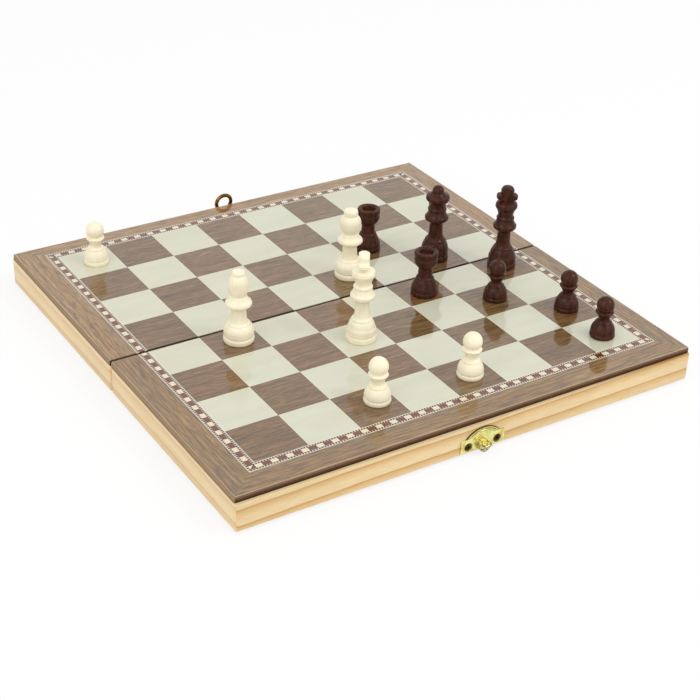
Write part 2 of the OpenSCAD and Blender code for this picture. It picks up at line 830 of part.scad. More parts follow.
hinge_leaves(front);  // front_hinge_leaves
hinge_leaves(rear);  // rear_hinge_leaves
hinge_pins();
hinge_screws(front);  // front_hinge_screws
hinge_screws(rear);  // rear_hinge_screws

catch_plate();
catch_boss();
plate_screws(front);  // catch_screws
hasp_plate();
hasp_pin();
hasp_ring();
plate_screws(rear);  // hasp_screws

white_king();
white_bishop_near();
white_bishop_far();
white_pawn_near();
white_pawn_right();
white_pawn_far();
dark_king();
dark_queen();
dark_rook_near();
dark_rook_far();
dark_pawn_inner();
dark_pawn_middle();
dark_pawn_outer();
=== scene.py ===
import math

import bmesh
import bpy
from mathutils import Matrix, Vector


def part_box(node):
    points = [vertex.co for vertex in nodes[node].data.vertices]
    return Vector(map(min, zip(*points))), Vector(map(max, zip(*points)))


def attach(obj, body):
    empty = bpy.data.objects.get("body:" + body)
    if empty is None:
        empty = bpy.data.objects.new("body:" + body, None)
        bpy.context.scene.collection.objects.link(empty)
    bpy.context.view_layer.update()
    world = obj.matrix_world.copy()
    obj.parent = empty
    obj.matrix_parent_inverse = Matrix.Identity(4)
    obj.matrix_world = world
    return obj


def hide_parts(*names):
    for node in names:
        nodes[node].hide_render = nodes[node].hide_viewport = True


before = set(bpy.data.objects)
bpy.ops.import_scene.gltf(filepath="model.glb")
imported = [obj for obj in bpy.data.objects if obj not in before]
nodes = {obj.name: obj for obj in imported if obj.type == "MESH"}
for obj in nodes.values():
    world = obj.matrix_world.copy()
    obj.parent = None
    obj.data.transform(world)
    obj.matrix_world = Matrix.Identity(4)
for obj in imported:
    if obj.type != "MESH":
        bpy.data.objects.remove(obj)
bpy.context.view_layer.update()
print("frame loaded:", len(nodes), "nodes")

mm = 0.001


# One output of a node tree. Arithmetic on it adds Math nodes.
class Wire:
    def __init__(self, tree, socket):
        self.tree = tree
        self.socket = socket

    def maths(self, operation, *others, swapped=False):
        values = [self, *others]
        if swapped:
            values.reverse()
        return self.tree.add("ShaderNodeMath", {"operation": operation}, dict(enumerate(values)))

    def __add__(self, other):
        return self.maths("ADD", other)

    def __radd__(self, other):
        return self.maths("ADD", other)

    def __sub__(self, other):
        return self.maths("SUBTRACT", other)

    def __rsub__(self, other):
        return self.maths("SUBTRACT", other, swapped=True)

    def __mul__(self, other):
        return self.maths("MULTIPLY", other)

    def __rmul__(self, other):
        return self.maths("MULTIPLY", other)

    def __truediv__(self, other):
        return self.maths("DIVIDE", other)

    def __mod__(self, other):
        return self.maths("FLOORED_MODULO", other)

    def __pow__(self, other):
        return self.maths("POWER", other)

    def __gt__(self, other):
        return self.maths("GREATER_THAN", other)

    def __abs__(self):
        return self.maths("ABSOLUTE")

    def step(self, low, high):  # 0 below low, 1 above high, smooth between
        settings = {"interpolation_type": "SMOOTHSTEP"}
        limits = {"Value": self, "From Min": low, "From Max": high}
        return self.tree.add("ShaderNodeMapRange", settings, limits)

    def other(self, name):  # another output of the same node
        return Wire(self.tree, self.socket.node.outputs[name])


# A node tree that is written as expressions
class Tree:
    def __init__(self, nodeTree):
        self.nodes = nodeTree.nodes
        self.links = nodeTree.links

    def add(self, kind, settings=None, inputs=None, output=0):
        node = self.nodes.new(kind)
        for name, value in (settings or {}).items():
            if name == "stops":
                ramp = node.color_ramp
                while len(ramp.elements) < len(value):
                    ramp.elements.new(1)
                for element, (position, colour) in zip(ramp.elements, value):
                    element.position = position
                    element.color = colour
            else:
                setattr(node, name, value)
        for key, value in (inputs or {}).items():
            if isinstance(value, Wire):
                self.links.new(value.socket, node.inputs[key])
            else:
                node.inputs[key].default_value = value
        return Wire(self, node.outputs[output]) if len(node.outputs) else None

    def vector(self, x, y, z):
        return self.add("ShaderNodeCombineXYZ", None, {"X": x, "Y": y, "Z": z})

    def noise(self, place, detail=2, roughness=0.55, scale=1):
        inputs = {"Vector": place, "Scale": scale, "Detail": detail, "Roughness": roughness}
        return self.add("ShaderNodeTexNoise", None, inputs)

    def mix(self, share, first, second, blend="MIX"):
        settings = {"data_type": "RGBA", "blend_type": blend}
        return self.add("ShaderNodeMix", settings, {0: share, 6: first, 7: second}, output=2)

    def multiplied(self, first, second):
        return self.mix(1, first, second, "MULTIPLY")

    def ramp(self, value, stops):
        return self.add("ShaderNodeValToRGB", {"stops": stops}, {"Fac": value})

    def between(self, value, low, high, colours):  # the first colour at low, the second at high
        return self.ramp(value, [(low, colours[0]), (high, colours[1])])


# A material on the object's own coordinates, in millimetres
class Finish(Tree):
    def __init__(self, name, fixed):
        self.material = bpy.data.materials.new(name)
        self.material.use_nodes = True
        super().__init__(self.material.node_tree)
        self.shader = self.nodes["Principled BSDF"]
        for socket, value in fixed.items():
            self.shader.inputs[socket].default_value = value

    def spot(self):
        where = self.add("ShaderNodeTexCoord", output="Object")
        scaling = {0: where, "Scale": 1 / mm}
        scaled = self.add("ShaderNodeVectorMath", {"operation": "SCALE"}, scaling)
        x = self.add("ShaderNodeSeparateXYZ", None, {"Vector": scaled})
        return x, x.other("Y"), x.other("Z")

    def stretched(self, place, scales):  # a place with a scale for each axis
        return self.vector(*(axis * scale for axis, scale in zip(place, scales)))

    # Noise drawn out along the grain. Its setting: scale along, scale across, detail, roughness
    def grain(self, along, across, seed, setting, shift=None):
        alongScale, acrossScale, detail, roughness = setting
        run = along * alongScale
        if shift is not None:
            run = run + shift
        return self.noise(self.vector(run, across * acrossScale, seed), detail, roughness)

    def feed(self, socket, wire):
        self.links.new(wire.socket, self.shader.inputs[socket])

    def bump(self, height, depth, strength):  # depth in millimetres
        inputs = {"Height": height, "Distance": depth * mm, "Strength": strength}
        self.feed("Normal", self.add("ShaderNodeBump", None, inputs))


def tint(red, green, blue):  # from 0-255 as seen on a screen
    def linear(c):
        c /= 255
        return c / 12.92 if c <= 0.04045 else ((c + 0.055) / 1.055) ** 2.4

    return (linear(red), linear(green), linear(blue), 1)


def paint(material, *names):
    for name in names:
        for slot in nodes[name].material_slots:
            slot.material = material


# Box: the pine rails

foldY = (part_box("front_panel")[1].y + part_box("rear_panel")[0].y) / 2 / mm

pine = {
    "paleWood": tint(234, 209, 162),
    "midWood": tint(226, 196, 144),
    "tanWood": tint(218, 176, 112),
    "lateWood": tint(190, 148, 90),
    # noise: scales along the rail, through it and up it
    "sway": (0.009, 0.03, 0.05),
    "ripple": (0.04, 0.1, 0.3),
    "fibre": (0.12, 3.0, 3.0),
    "blotch": (0.02, 0.2, 0.15),
    "swayDepth": 2.4,  # how far it moves a ring line
    "rippleDepth": 0.9,
    "slant": 0.12,  # of the rings through the rail
    "fibreShades": ((0.86, 0.83, 0.78, 1), (1.04, 1.04, 1.04, 1)),
    "blotchShades": ((0.94, 0.92, 0.88, 1), (1.03, 1.03, 1.04, 1)),
    # painted shade standing in for the shadow in the gap at the fold
    "foldShade": tint(112, 80, 46),
    "foldShare": 0.9,
    "foldEdge": (0.4, 1.1),  # distances from the fold where the shade starts to fade and ends
    "roughness": 0.42,
    "roughnessSpread": 0.25,
    "bumpDepth": 0.05,
    # rings: spacing, height of a ring line, rise along the rail, strength from 0 to 1
    "frontWall": (9.2, 14.8, 0.0145, 1.0),
    "sideRail": (9.0, 14.4, -0.006, 0.5),
    "rearWall": (6.5, 12.0, 0.004, 0.8),
    "foldRail": (5.5, 14.0, -0.003, 0.7),
}


def makePine(name, along, rings):
    spacing, lineHeight, rise, strength = rings
    surface = Finish(name, {
        "Coat Weight": 0.25, "Coat Roughness": 0.25, "Specular IOR Level": 0.3,
    })
    x, y, z = surface.spot()
    run, depth = (x, y) if along == "X" else (y, x)
    place = (run, depth, z)
    sway = surface.noise(surface.stretched(place, pine["sway"]))
    ripple = surface.noise(surface.stretched(place, pine["ripple"]))
    down = lineHeight + run * rise + (sway - 0.5) * pine["swayDepth"]
    down = down + (ripple - 0.5) * pine["rippleDepth"] - z + depth * pine["slant"]
    ring = (down / spacing) % 1
    wood = surface.ramp(ring, [
        (0.0, pine["lateWood"]), (0.07, pine["tanWood"]), (0.3, pine["midWood"]),
        (0.55, pine["paleWood"]), (0.93, pine["paleWood"]), (1.0, pine["lateWood"]),
    ])
    faded = surface.mix(strength, pine["paleWood"], wood)
    fibre = surface.noise(surface.stretched(place, pine["fibre"]), 4, 0.7)
    shade = surface.between(fibre, 0.3, 0.6, pine["fibreShades"])
    blotch = surface.noise(surface.stretched(place, pine["blotch"]))
    tone = surface.between(blotch, 0.35, 0.65, pine["blotchShades"])
    grained = surface.multiplied(surface.multiplied(faded, shade), tone)
    if along == "Y":  # painted shade: a dark line where the two halves' side rails meet, standing in for the shadow in the gap at the fold
        byFold = 1 - abs(y - foldY).step(*pine["foldEdge"])
        grained = surface.mix(byFold * pine["foldShare"], grained, pine["foldShade"])
    surface.feed("Base Color", grained)
    surface.feed("Roughness", pine["roughness"] + (fibre - 0.5) * pine["roughnessSpread"])
    surface.bump(fibre + ring * 0.4, pine["bumpDepth"], 0.6)
    return surface.material


paint(makePine("pineFrontWall", "X", pine["frontWall"]), "front_wall")
paint(makePine("pineRearWall", "X", pine["rearWall"]), "rear_wall")
paint(makePine("pineFoldRail", "X", pine["foldRail"]), "front_fold_rail", "rear_fold_rail")
paint(
    makePine("pineSideRail", "Y", pine["sideRail"]),
    "front_left_rail", "front_right_rail", "rear_left_rail", "rear_right_rail",
)
print("pine rails finished")


# Box: the plywood panels, with a dark stain on the edge, and painted light and shade on that edge

panelEdge = {
    # tones from low to high on the edge: painted shade low down, painted light towards the rounded
    # top
    "under": tint(58, 32, 18),
    "middle": tint(92, 60, 38),
    "top": tint(122, 90, 62),
    "side": (tint(136, 108, 78), tint(158, 132, 100)),  # left and right edges, low and high
    "sideEdge": (0.7, 0.1),  # how far inside the edge the side's tone starts and is full
    # painted shade for the gap at the fold
    "fold": tint(44, 30, 18),
    "foldEdge": (0.9, 1.3),
    "streak": (0.4, 0.4, 1.6),  # noise scales
    "streakSpread": 0.9,
    "roughness": 0.55,
    "bumpDepth": 0.06,
}


def makePanelEdge():
    surface = Finish("panelEdgeStainAndPaintedLight", {
        "Roughness": panelEdge["roughness"], "Specular IOR Level": 0.25,
    })
    x, y, z = place = surface.spot()
    low, high = (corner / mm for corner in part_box("front_panel"))
    height = (z - low.z) / (high.z - low.z)
    streak = surface.noise(surface.stretched(place, panelEdge["streak"]), 5, 0.75)
    level = height + (streak - 0.5) * panelEdge["streakSpread"]
    # painted light and shade: darker low on the edge, lighter towards its rounded top where light
    # falls
    ends = surface.ramp(level, [
        (0.0, panelEdge["under"]), (0.3, panelEdge["under"]),
        (0.62, panelEdge["middle"]), (0.92, panelEdge["top"]),
    ])
    sides = surface.between(level, 0.3, 0.9, panelEdge["side"])
    atSide = abs(x).step(*(high.x - inside for inside in panelEdge["sideEdge"]))
    # painted shade along the fold, where the two panels meet
    byFold = 1 - abs(y - foldY).step(*panelEdge["foldEdge"])
    stainAndPaintedLight = surface.mix(atSide, ends, sides)
    surface.feed("Base Color", surface.mix(byFold, stainAndPaintedLight, panelEdge["fold"]))
    surface.bump(streak, panelEdge["bumpDepth"], 0.5)
    return surface.material


paint(makePanelEdge(), "front_panel", "rear_panel")
print("panels finished")


# Chess board: the squares' woods, and the lacquer over the whole board

plainShade = (1, 1, 1, 1)

board = {
    "darkLow": tint(90, 62, 36),
    "darkMiddle": tint(115, 86, 48),
    "darkHigh": tint(138, 106, 70),
    "darkPore": (0.4, 0.36, 0.32, 1),
    "darkGleam": (1.42, 1.42, 1.38, 1),
    # casts that the dark squares have, spread by chance
    "darkCasts": [
        (0.0, (1.06, 0.97, 0.92, 1)), (0.35, (0.98, 1.0, 0.98, 1)),
        (0.7, (1.0, 0.96, 0.98, 1)), (1.0, (0.97, 1.04, 0.98, 1)),
    ],
    "light": (tint(206, 205, 180), tint(213, 212, 190)),
    "lightCasts": [(0.0, (1.0, 0.99, 0.96, 1)), (0.5, plainShade), (1.0, (0.99, 1.0, 1.02, 1))],
    # joint: tone, share, and distances from a square's edge where it starts to fade and ends
    "darkJoint": (tint(70, 54, 38), 0.6, 0.12, 0.4),
    "lightJoint": (tint(232, 226, 196), 0.7, 0.15, 0.5),
    "change": 40,  # of the figure's place from square to square
    # noise: scale along the grain, scale across, detail, roughness
    "wave": (0.02, 0.05, 2, 0.55),
    "streak": (0.035, 0.55, 5, 0.62),
    "pore": (0.13, 1.5, 4, 0.75),
    "figure": (0.03, 0.12, 4, 0.6),
    "speck": (0.5, 1.6, 3, 0.6),
    "waveDepth": 9,
    "speckShare": 0.35,
    "bumpDepth": 0.01,
}
lacquer = {
    "Coat Weight": 1.0, "Coat IOR": 1.72, "Coat Roughness": 0.07,
    "Specular IOR Level": 0.1, "Roughness": 0.5,
}

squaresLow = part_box("front_light_squares")[0] / mm
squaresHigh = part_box("rear_light_squares")[1] / mm
squareSize = (squaresHigh.x - squaresLow.x) / 8
patternX = (squaresLow.x + squaresHigh.x) / 2
patternY = {"front": squaresLow.y + 4 * squareSize, "rear": squaresHigh.y - 4 * squareSize}


# Squares: the wood's figure changes from one square to the next
def squareCell(surface, half):
    x, y, z = surface.spot()
    across = (x - patternX) / squareSize
    back = (y - patternY[half]) / squareSize
    cell = surface.vector(across.maths("FLOOR"), back.maths("FLOOR"), 0.5)
    chance = surface.add("ShaderNodeTexWhiteNoise", None, {"Vector": cell})
    insideX = abs(across % 1 - 0.5)
    insideY = abs(back % 1 - 0.5)
    edge = (0.5 - insideX.maths("MAXIMUM", insideY)) * squareSize  # distance to the square's edge
    return x, y, chance, edge


def jointed(surface, wood, edge, joint):  # the wood with a thin tone along the square's edge
    tone, share, start, end = joint
    surface.feed("Base Color", surface.mix((1 - edge.step(start, end)) * share, wood, tone))


def makeDarkSquares(half):
    surface = Finish("darkSquares_" + half, lacquer)
    x, y, chance, edge = squareCell(surface, half)
    shift = chance * board["change"]
    wave = surface.grain(x, y, shift, board["wave"], shift)
    line = y + wave * board["waveDepth"] + shift
    streak = surface.grain(x, line, shift, board["streak"], shift)
    pore = surface.grain(x, line, shift, board["pore"])
    wood = surface.ramp(streak, [
        (0.3, board["darkLow"]), (0.5, board["darkMiddle"]), (0.7, board["darkHigh"]),
    ])
    pores = surface.ramp(pore, [
        (0.34, board["darkPore"]), (0.5, plainShade), (0.66, board["darkGleam"]),
    ])
    cast = surface.multiplied(wood, surface.ramp(chance, board["darkCasts"]))
    jointed(surface, surface.multiplied(cast, pores), edge, board["darkJoint"])
    surface.bump(streak, board["bumpDepth"], 0.3)
    return surface.material


def makeLightSquares(half):
    surface = Finish("lightSquares_" + half, lacquer)
    x, y, chance, edge = squareCell(surface, half)
    shift = chance * board["change"]
    figure = surface.grain(x, y, shift, board["figure"], shift)
    speck = surface.grain(x, y, shift, board["speck"])
    level = figure + (speck - 0.5) * board["speckShare"]
    wood = surface.between(level, 0.3, 0.65, board["light"])
    cast = surface.multiplied(wood, surface.ramp(chance, board["lightCasts"]))
    jointed(surface, cast, edge, board["lightJoint"])
    return surface.material


for half in ("front", "rear"):
    paint(makeDarkSquares(half), half + "_dark_squares")
    paint(makeLightSquares(half), half + "_light_squares")
print("squares finished")


# Mosaic band: two check lines with a row of tiles between them
band = {
    "lineWidth": 1.4,
    "tileWidth": 3.5,
    "tileCount": 57,
    "checkPitch": 1.62,
    "checkRise": (0.28, 0.36),  # shares of the pitch where black starts and is full
    "checkFall": (0.92, 1.0),
    "whiteLine": 0.45,
    "whiteBlur": 0.08,
    "rimWidth": 0.35,
    "rimBlur": 0.1,
    "endWidth": 0.3,
    "fibre": (1.2, 1.2, 3, 0.55),
    "fibreShades": ((0.8, 0.8, 0.8, 1), (1.1, 1.1, 1.1, 1)),
    "black": tint(30, 24, 22),
    "white": tint(216, 212, 192),
    "orange": tint(176, 92, 62),
    "brown": tint(108, 47, 15),
    "cream": tint(232, 222, 188),
}
tileInner = 4 * squareSize + band["lineWidth"]
tileOuter = tileInner + band["tileWidth"]
tileMiddle = (tileInner + tileOuter) / 2
bandOuter = tileOuter + band["lineWidth"]
tileLength = 2 * tileInner / band["tileCount"]


def bandPlace(surface, half):
    x, y, z = surface.spot()
    fromX = x - patternX
    fromY = y - patternY[half]
    beside = abs(fromX) > abs(fromY)  # 1 on the left and right runs
    along = fromX + (fromY - fromX) * beside
    out = abs(fromX).maths("MAXIMUM", abs(fromY))  # distance from the pattern's middle
    return along, out


# Checks of black and white, with a white line on the side away from the tiles
def makeCheckLines(half):
    surface = Finish("checkLines_" + half, lacquer)
    along, out = bandPlace(surface, half)
    check = (along / band["checkPitch"]) % 1
    dark = check.step(*band["checkRise"]) * (1 - check.step(*band["checkFall"]))
    fromTiles = abs(out - tileMiddle) - band["tileWidth"] / 2
    lineEdge, blur = band["lineWidth"] - band["whiteLine"], band["whiteBlur"]
    checked = 1 - fromTiles.step(lineEdge - blur, lineEdge + blur)
    surface.feed("Base Color", surface.mix(dark * checked, band["white"], band["black"]))
    return surface.material


def makeTiles(name, half, middle, rim):
    surface = Finish(name + "_" + half, lacquer)
    along, out = bandPlace(surface, half)
    across = abs(out - tileMiddle)
    rimStart, blur = band["tileWidth"] / 2 - band["rimWidth"], band["rimBlur"]
    inRim = across.step(rimStart - blur, rimStart + blur)
    toEnd = 0.5 - abs(((along + tileInner) / tileLength) % 1 - 0.5)
    atEnd = 1 - (toEnd * tileLength).step(band["endWidth"] * 0.5, band["endWidth"])
    fibre = surface.grain(along, out, 0.0, band["fibre"])
    shade = surface.between(fibre, 0.3, 0.7, band["fibreShades"])
    rimmed = surface.mix(inRim, surface.multiplied(middle, shade), rim)
    surface.feed("Base Color", surface.mix(atEnd, rimmed, band["black"]))
    return surface.material


for half in ("front", "rear"):
    paint(makeCheckLines(half), half + "_stringing")
    paint(makeTiles("redTiles", half, band["brown"], band["orange"]), half + "_red_tiles")
    paint(makeTiles("creamTiles", half, band["cream"], band["orange"]), half + "_cream_tiles")
print("mosaic band finished")


# Border strips, the grain along each, mitred at the corners
border = {
    "low": tint(106, 74, 40),
    "middle": tint(137, 103, 60),
    "high": tint(162, 131, 86),
    "grey": tint(122, 106, 80),
    "greyShare": 0.5,
    "poreShade": (0.34, 0.3, 0.26),
    "gleamShade": (1.5, 1.48, 1.42),
    # a paler line at the outer edge: the veneer's worn cut edge, with a painted highlight
    "edgeWearAndHighlight": tint(196, 174, 144),
    "edgeHighlightShare": 0.6,
    "edgeHighlightWidth": 0.5,
    "rearLift": 1.24,  # the rear half's strips are paler
    # seeds that give each strip a figure of its own
    "sideSeed": 37,
    "rightSeed": 23,
    "frontSeed": 11,
    "greySeed": 5,
    # noise: scale along the grain, scale across, detail, roughness
    "wave": (0.012, 0.05, 2, 0.55),
    "streak": (0.018, 0.6, 5, 0.65),
    "pore": (0.08, 1.3, 4, 0.75),
    "greying": (0.01, 0.15, 2, 0.55),
    "waveDepth": 7,
    "bumpDepth": 0.01,
}


def makeBorder(half):
    surface = Finish("borderVeneer_" + half, lacquer)
    x, y, z = surface.spot()
    low, high = (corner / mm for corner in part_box(half + "_border"))
    isFront = half == "front"
    farY = low.y if isFront else high.y
    rightWidth = high.x - patternX - bandOuter
    leftWidth = patternX - bandOuter - low.x
    endWidth = abs(farY - patternY[half]) - bandOuter
    fromX = x - patternX
    isRight = fromX > 0
    sideWidth = leftWidth + (rightWidth - leftWidth) * isRight
    sideShare = (abs(fromX) - bandOuter) / sideWidth
    endShare = (abs(y - patternY[half]) - bandOuter) / endWidth
    beside = sideShare > endShare
    along = x + (y - x) * beside
    across = y + (x - y) * beside
    seed = beside * border["sideSeed"] + isRight * beside * border["rightSeed"]
    seed = seed + (border["frontSeed"] if isFront else 0)
    line = across + surface.grain(along, across, seed, border["wave"]) * border["waveDepth"]
    streak = surface.grain(along, line, seed, border["streak"])
    pore = surface.grain(along, line, seed, border["pore"])
    greying = surface.grain(along, line, seed + border["greySeed"], border["greying"])
    wood = surface.ramp(streak, [
        (0.3, border["low"]), (0.5, border["middle"]), (0.7, border["high"]),
    ])
    greyed = surface.mix(greying.step(0.4, 0.7) * border["greyShare"], wood, border["grey"])
    lift = 1 if isFront else border["rearLift"]

    def lifted(shade):
        return (*(lift * c for c in shade), 1)

    grained = surface.multiplied(greyed, surface.ramp(pore, [
        (0.36, lifted(border["poreShade"])), (0.5, lifted((1, 1, 1))),
        (0.66, lifted(border["gleamShade"])),
    ]))
    # the outer edge is paler: wear on the cut edge, and a painted highlight along it
    toSide = (x - low.x).maths("MINIMUM", high.x - x)
    toEdge = toSide.maths("MINIMUM", abs(y - farY))
    atEdge = 1 - toEdge.step(border["edgeHighlightWidth"] * 0.5, border["edgeHighlightWidth"])
    wornAndHighlighted = surface.mix(atEdge * border["edgeHighlightShare"], grained, border["edgeWearAndHighlight"])
    surface.feed("Base Color", wornAndHighlighted)
    surface.bump(streak, border["bumpDepth"], 0.3)
    return surface.material


for half in ("front", "rear"):
    paint(makeBorder(half), half + "_border")
print("border finished")


# Trays: the lining and the backgammon points

tray = {
    "lining": (tint(170, 126, 82), tint(196, 152, 104)),
    "darkPoint": (tint(84, 52, 34), tint(112, 76, 52)),
    "lightPoint": (tint(214, 200, 166), tint(232, 222, 194)),
    "wave": (0.02, 0.05, 2, 0.55),  # noise, as on the border
    "streak": (0.03, 0.6, 5, 0.65),
    "waveSeed": 3.0,
    "streakSeed": 1.0,
    "waveDepth": 8,
    "bumpDepth": 0.01,
}


def makeVeneer(name, colours):
    surface = Finish(name, {"Coat Weight": 0.5, "Coat Roughness": 0.15, "Roughness": 0.5})
    x, y, z = surface.spot()
    line = y + surface.grain(x, y, tray["waveSeed"], tray["wave"]) * tray["waveDepth"]
    streak = surface.grain(x, line, tray["streakSeed"], tray["streak"])
    surface.feed("Base Color", surface.between(streak, 0.3, 0.7, colours))
    surface.bump(streak, tray["bumpDepth"], 0.3)
    return surface.material


paint(makeVeneer("liningVeneer", tray["lining"]), "front_lining", "rear_lining")
paint(makeVeneer("darkPointVeneer", tray["darkPoint"]), "front_dark_points", "rear_dark_points")
paint(
    makeVeneer("lightPointVeneer", tray["lightPoint"]),
    "front_light_points", "rear_light_points",
)
print("trays finished")


# Geometry Nodes trees and plain meshes. Meshes are in metres, and sizes in millimetres

rounding = {"facets": 96, "fineFacets": 48, "arcSteps": 8, "closeGap": 0.001}


def newGeometryTree(name, inputs):
    group = bpy.data.node_groups.new(name, "GeometryNodeTree")
    sockets = group.interface
    sockets.new_socket("Geometry", in_out="INPUT", socket_type="NodeSocketGeometry")
    for title, (kind, value) in inputs.items():
        socket = sockets.new_socket(title, in_out="INPUT", socket_type="NodeSocket" + kind)
        if value is not None:
            socket.default_value = value
    sockets.new_socket("Geometry", in_out="OUTPUT", socket_type="NodeSocketGeometry")
    tree = Tree(group)
    return group, tree, tree.add("NodeGroupInput", output="Geometry")


def endGeometryTree(tree, shape, material):
    whole = tree.add("GeometryNodeRealizeInstances", None, {"Geometry": shape})
    inputs = {"Geometry": whole, "Material": material}
    dressed = tree.add("GeometryNodeSetMaterial", None, inputs)
    tree.add("NodeGroupOutput", None, {"Geometry": dressed})


def settle(piece):  # the modifiers' result becomes the mesh
    evaluated = piece.evaluated_get(bpy.context.evaluated_depsgraph_get())
    mesh = bpy.data.meshes.new_from_object(evaluated)
    piece.modifiers.clear()
    piece.data = mesh
    return piece


def applyTree(piece, group, values):
    modifier = piece.modifiers.new(group.name, "NODES")
    modifier.node_group = group
    for title, value in values.items():
        modifier[group.interface.items_tree[title].identifier] = value
    return settle(piece)


def newPiece(name, vertices, edges=(), faces=()):
    mesh = bpy.data.meshes.new(name)
    mesh.from_pydata(vertices, edges, faces)
    piece = bpy.data.objects.new(name, mesh)
    bpy.context.scene.collection.objects.link(piece)
    return piece


def soften(piece, angle):  # smooth shading, with creases kept sharp
    tidy = bmesh.new()
    tidy.from_mesh(piece.data)
    bmesh.ops.recalc_face_normals(tidy, faces=tidy.faces)
    tidy.to_mesh(piece.data)
    tidy.free()
    piece.data.shade_smooth()
    piece.data.set_sharp_from_angle(angle=math.radians(angle))


def prism(name, outline, low, high, bevel=0.0):  # its outline runs anticlockwise
    count = len(outline)
    vertices = [(x * mm, y * mm, z * mm) for z in (low, high) for x, y in outline]
    bottom, top = tuple(range(count))[::-1], tuple(range(count, 2 * count))
    sides = [(i, (i + 1) % count, count + (i + 1) % count, count + i) for i in range(count)]
    piece = newPiece(name, vertices, faces=[bottom, top, *sides])
    if bevel:
        rounded = piece.modifiers.new("bevel", "BEVEL")
        rounded.width = bevel * mm
        rounded.segments = 2
        rounded.angle_limit = math.radians(30)
        settle(piece)
    return piece


def merged(piece, other, operation="UNION"):
    boolean = piece.modifiers.new("boolean", "BOOLEAN")
    boolean.operation = operation
    boolean.solver = "EXACT"
    boolean.object = other
    settle(piece)
    bpy.data.objects.remove(other)
    return piece


# Points of the arc from start to end, bulging to the right of the chord
def arcPoints(start, end, bulge, steps=rounding["arcSteps"]):
    if bulge == 0:
        return [end]
    chord = (end - start).length
    along = (end - start) / chord
    out = Vector((along.y, -along.x))
    half = 2 * math.atan(2 * bulge / chord)
    radius = chord / (2 * math.sin(half))
    centre = (start + end) / 2 - out * radius * math.cos(half)
    angles = [half * (2 * k / steps - 1) for k in range(1, steps + 1)]
    return [centre + radius * (math.sin(a) * along + math.cos(a) * out) for a in angles]


# Spins a profile, an edge path in the XZ plane, about Z
def latheTree():
    group, tree, profile = newGeometryTree("turnedOnLathe", {
        "Facets": ("Int", rounding["facets"]), "Material": ("Material", None),
    })
    facets = profile.other("Facets")
    sizes = {"Geometry": profile}
    count = tree.add("GeometryNodeAttributeDomainSize", None, sizes, output="Point Count")
    gridSize = {"Vertices X": facets + 1, "Vertices Y": count}
    grid = tree.add("GeometryNodeMeshGrid", None, gridSize, output="Mesh")
    index = tree.add("GeometryNodeInputIndex")
    row = index % count
    turn = (index / count).maths("FLOOR") * math.tau / facets
    place = tree.add("GeometryNodeInputPosition")
    sampled = tree.add("GeometryNodeSampleIndex", {"data_type": "FLOAT_VECTOR"}, {
        "Geometry": profile, "Value": place, "Index": row,
    })
    radius = tree.add("ShaderNodeSeparateXYZ", None, {"Vector": sampled})
    across, back = radius * turn.maths("COSINE"), radius * turn.maths("SINE")
    spun = tree.vector(across, back, radius.other("Z"))
    shaped = tree.add("GeometryNodeSetPosition", None, {"Geometry": grid, "Position": spun})
    closed = tree.add("GeometryNodeMergeByDistance", None, {
        "Geometry": shaped, "Distance": rounding["closeGap"] * mm,
    })
    endGeometryTree(tree, closed, profile.other("Material"))
    return group


# Draws a round wire along an edge path
def wireTree():
    group, tree, path = newGeometryTree("drawnWire", {
        "Radius": ("Float", 0.001), "Sides": ("Int", 20), "Material": ("Material", None),
    })
    curve = tree.add("GeometryNodeMeshToCurve", None, {"Mesh": path})
    circle = tree.add("GeometryNodeCurvePrimitiveCircle", None, {
        "Resolution": path.other("Sides"), "Radius": path.other("Radius"),
    })
    wire = tree.add("GeometryNodeCurveToMesh", None, {
        "Curve": curve, "Profile Curve": circle, "Fill Caps": True,
    })
    endGeometryTree(tree, wire, path.other("Material"))
    return group


# Sets one screw on each point
def screwTree():
    group, tree, points = newGeometryTree("screwsInPlace", {
        "Screw": ("Object", None), "Turn": ("Vector", (0, 0, 0)), "Material": ("Material", None),
    })
    source = {"Object": points.other("Screw")}
    screw = tree.add("GeometryNodeObjectInfo", None, source, output="Geometry")
    placed = tree.add("GeometryNodeInstanceOnPoints", None, {
        "Points": points, "Instance": screw, "Rotation": points.other("Turn"),
    })
    endGeometryTree(tree, placed, points.other("Material"))
    return group


lathe, drawnWire, screwsInPlace = latheTree(), wireTree(), screwTree()


# Strokes are (radius, height, bulge), the first without a bulge
def turned(name, strokes, material, facets=rounding["facets"]):
    points = [Vector((0, strokes[0][1])), Vector(strokes[0][:2])]
    for before, stroke in zip(strokes, strokes[1:]):
        points += arcPoints(Vector(before[:2]), Vector(stroke[:2]), stroke[2])
    vertices = [(abs(p.x) * mm, 0, p.y * mm) for p in points]
    edges = [(i, i + 1) for i in range(len(vertices) - 1)]
    piece = newPiece(name, vertices, edges)
    return applyTree(piece, lathe, {"Facets": facets, "Material": material})


def dress(piece, body, slot, material, crease, *replaced):
    piece.data.materials.clear()
    piece.data.materials.append(material)
    piece.data.polygons.foreach_set("material_index", [0] * len(piece.data.polygons))
    soften(piece, crease)
    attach(piece, body)
    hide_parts(*replaced)


# Brass fittings

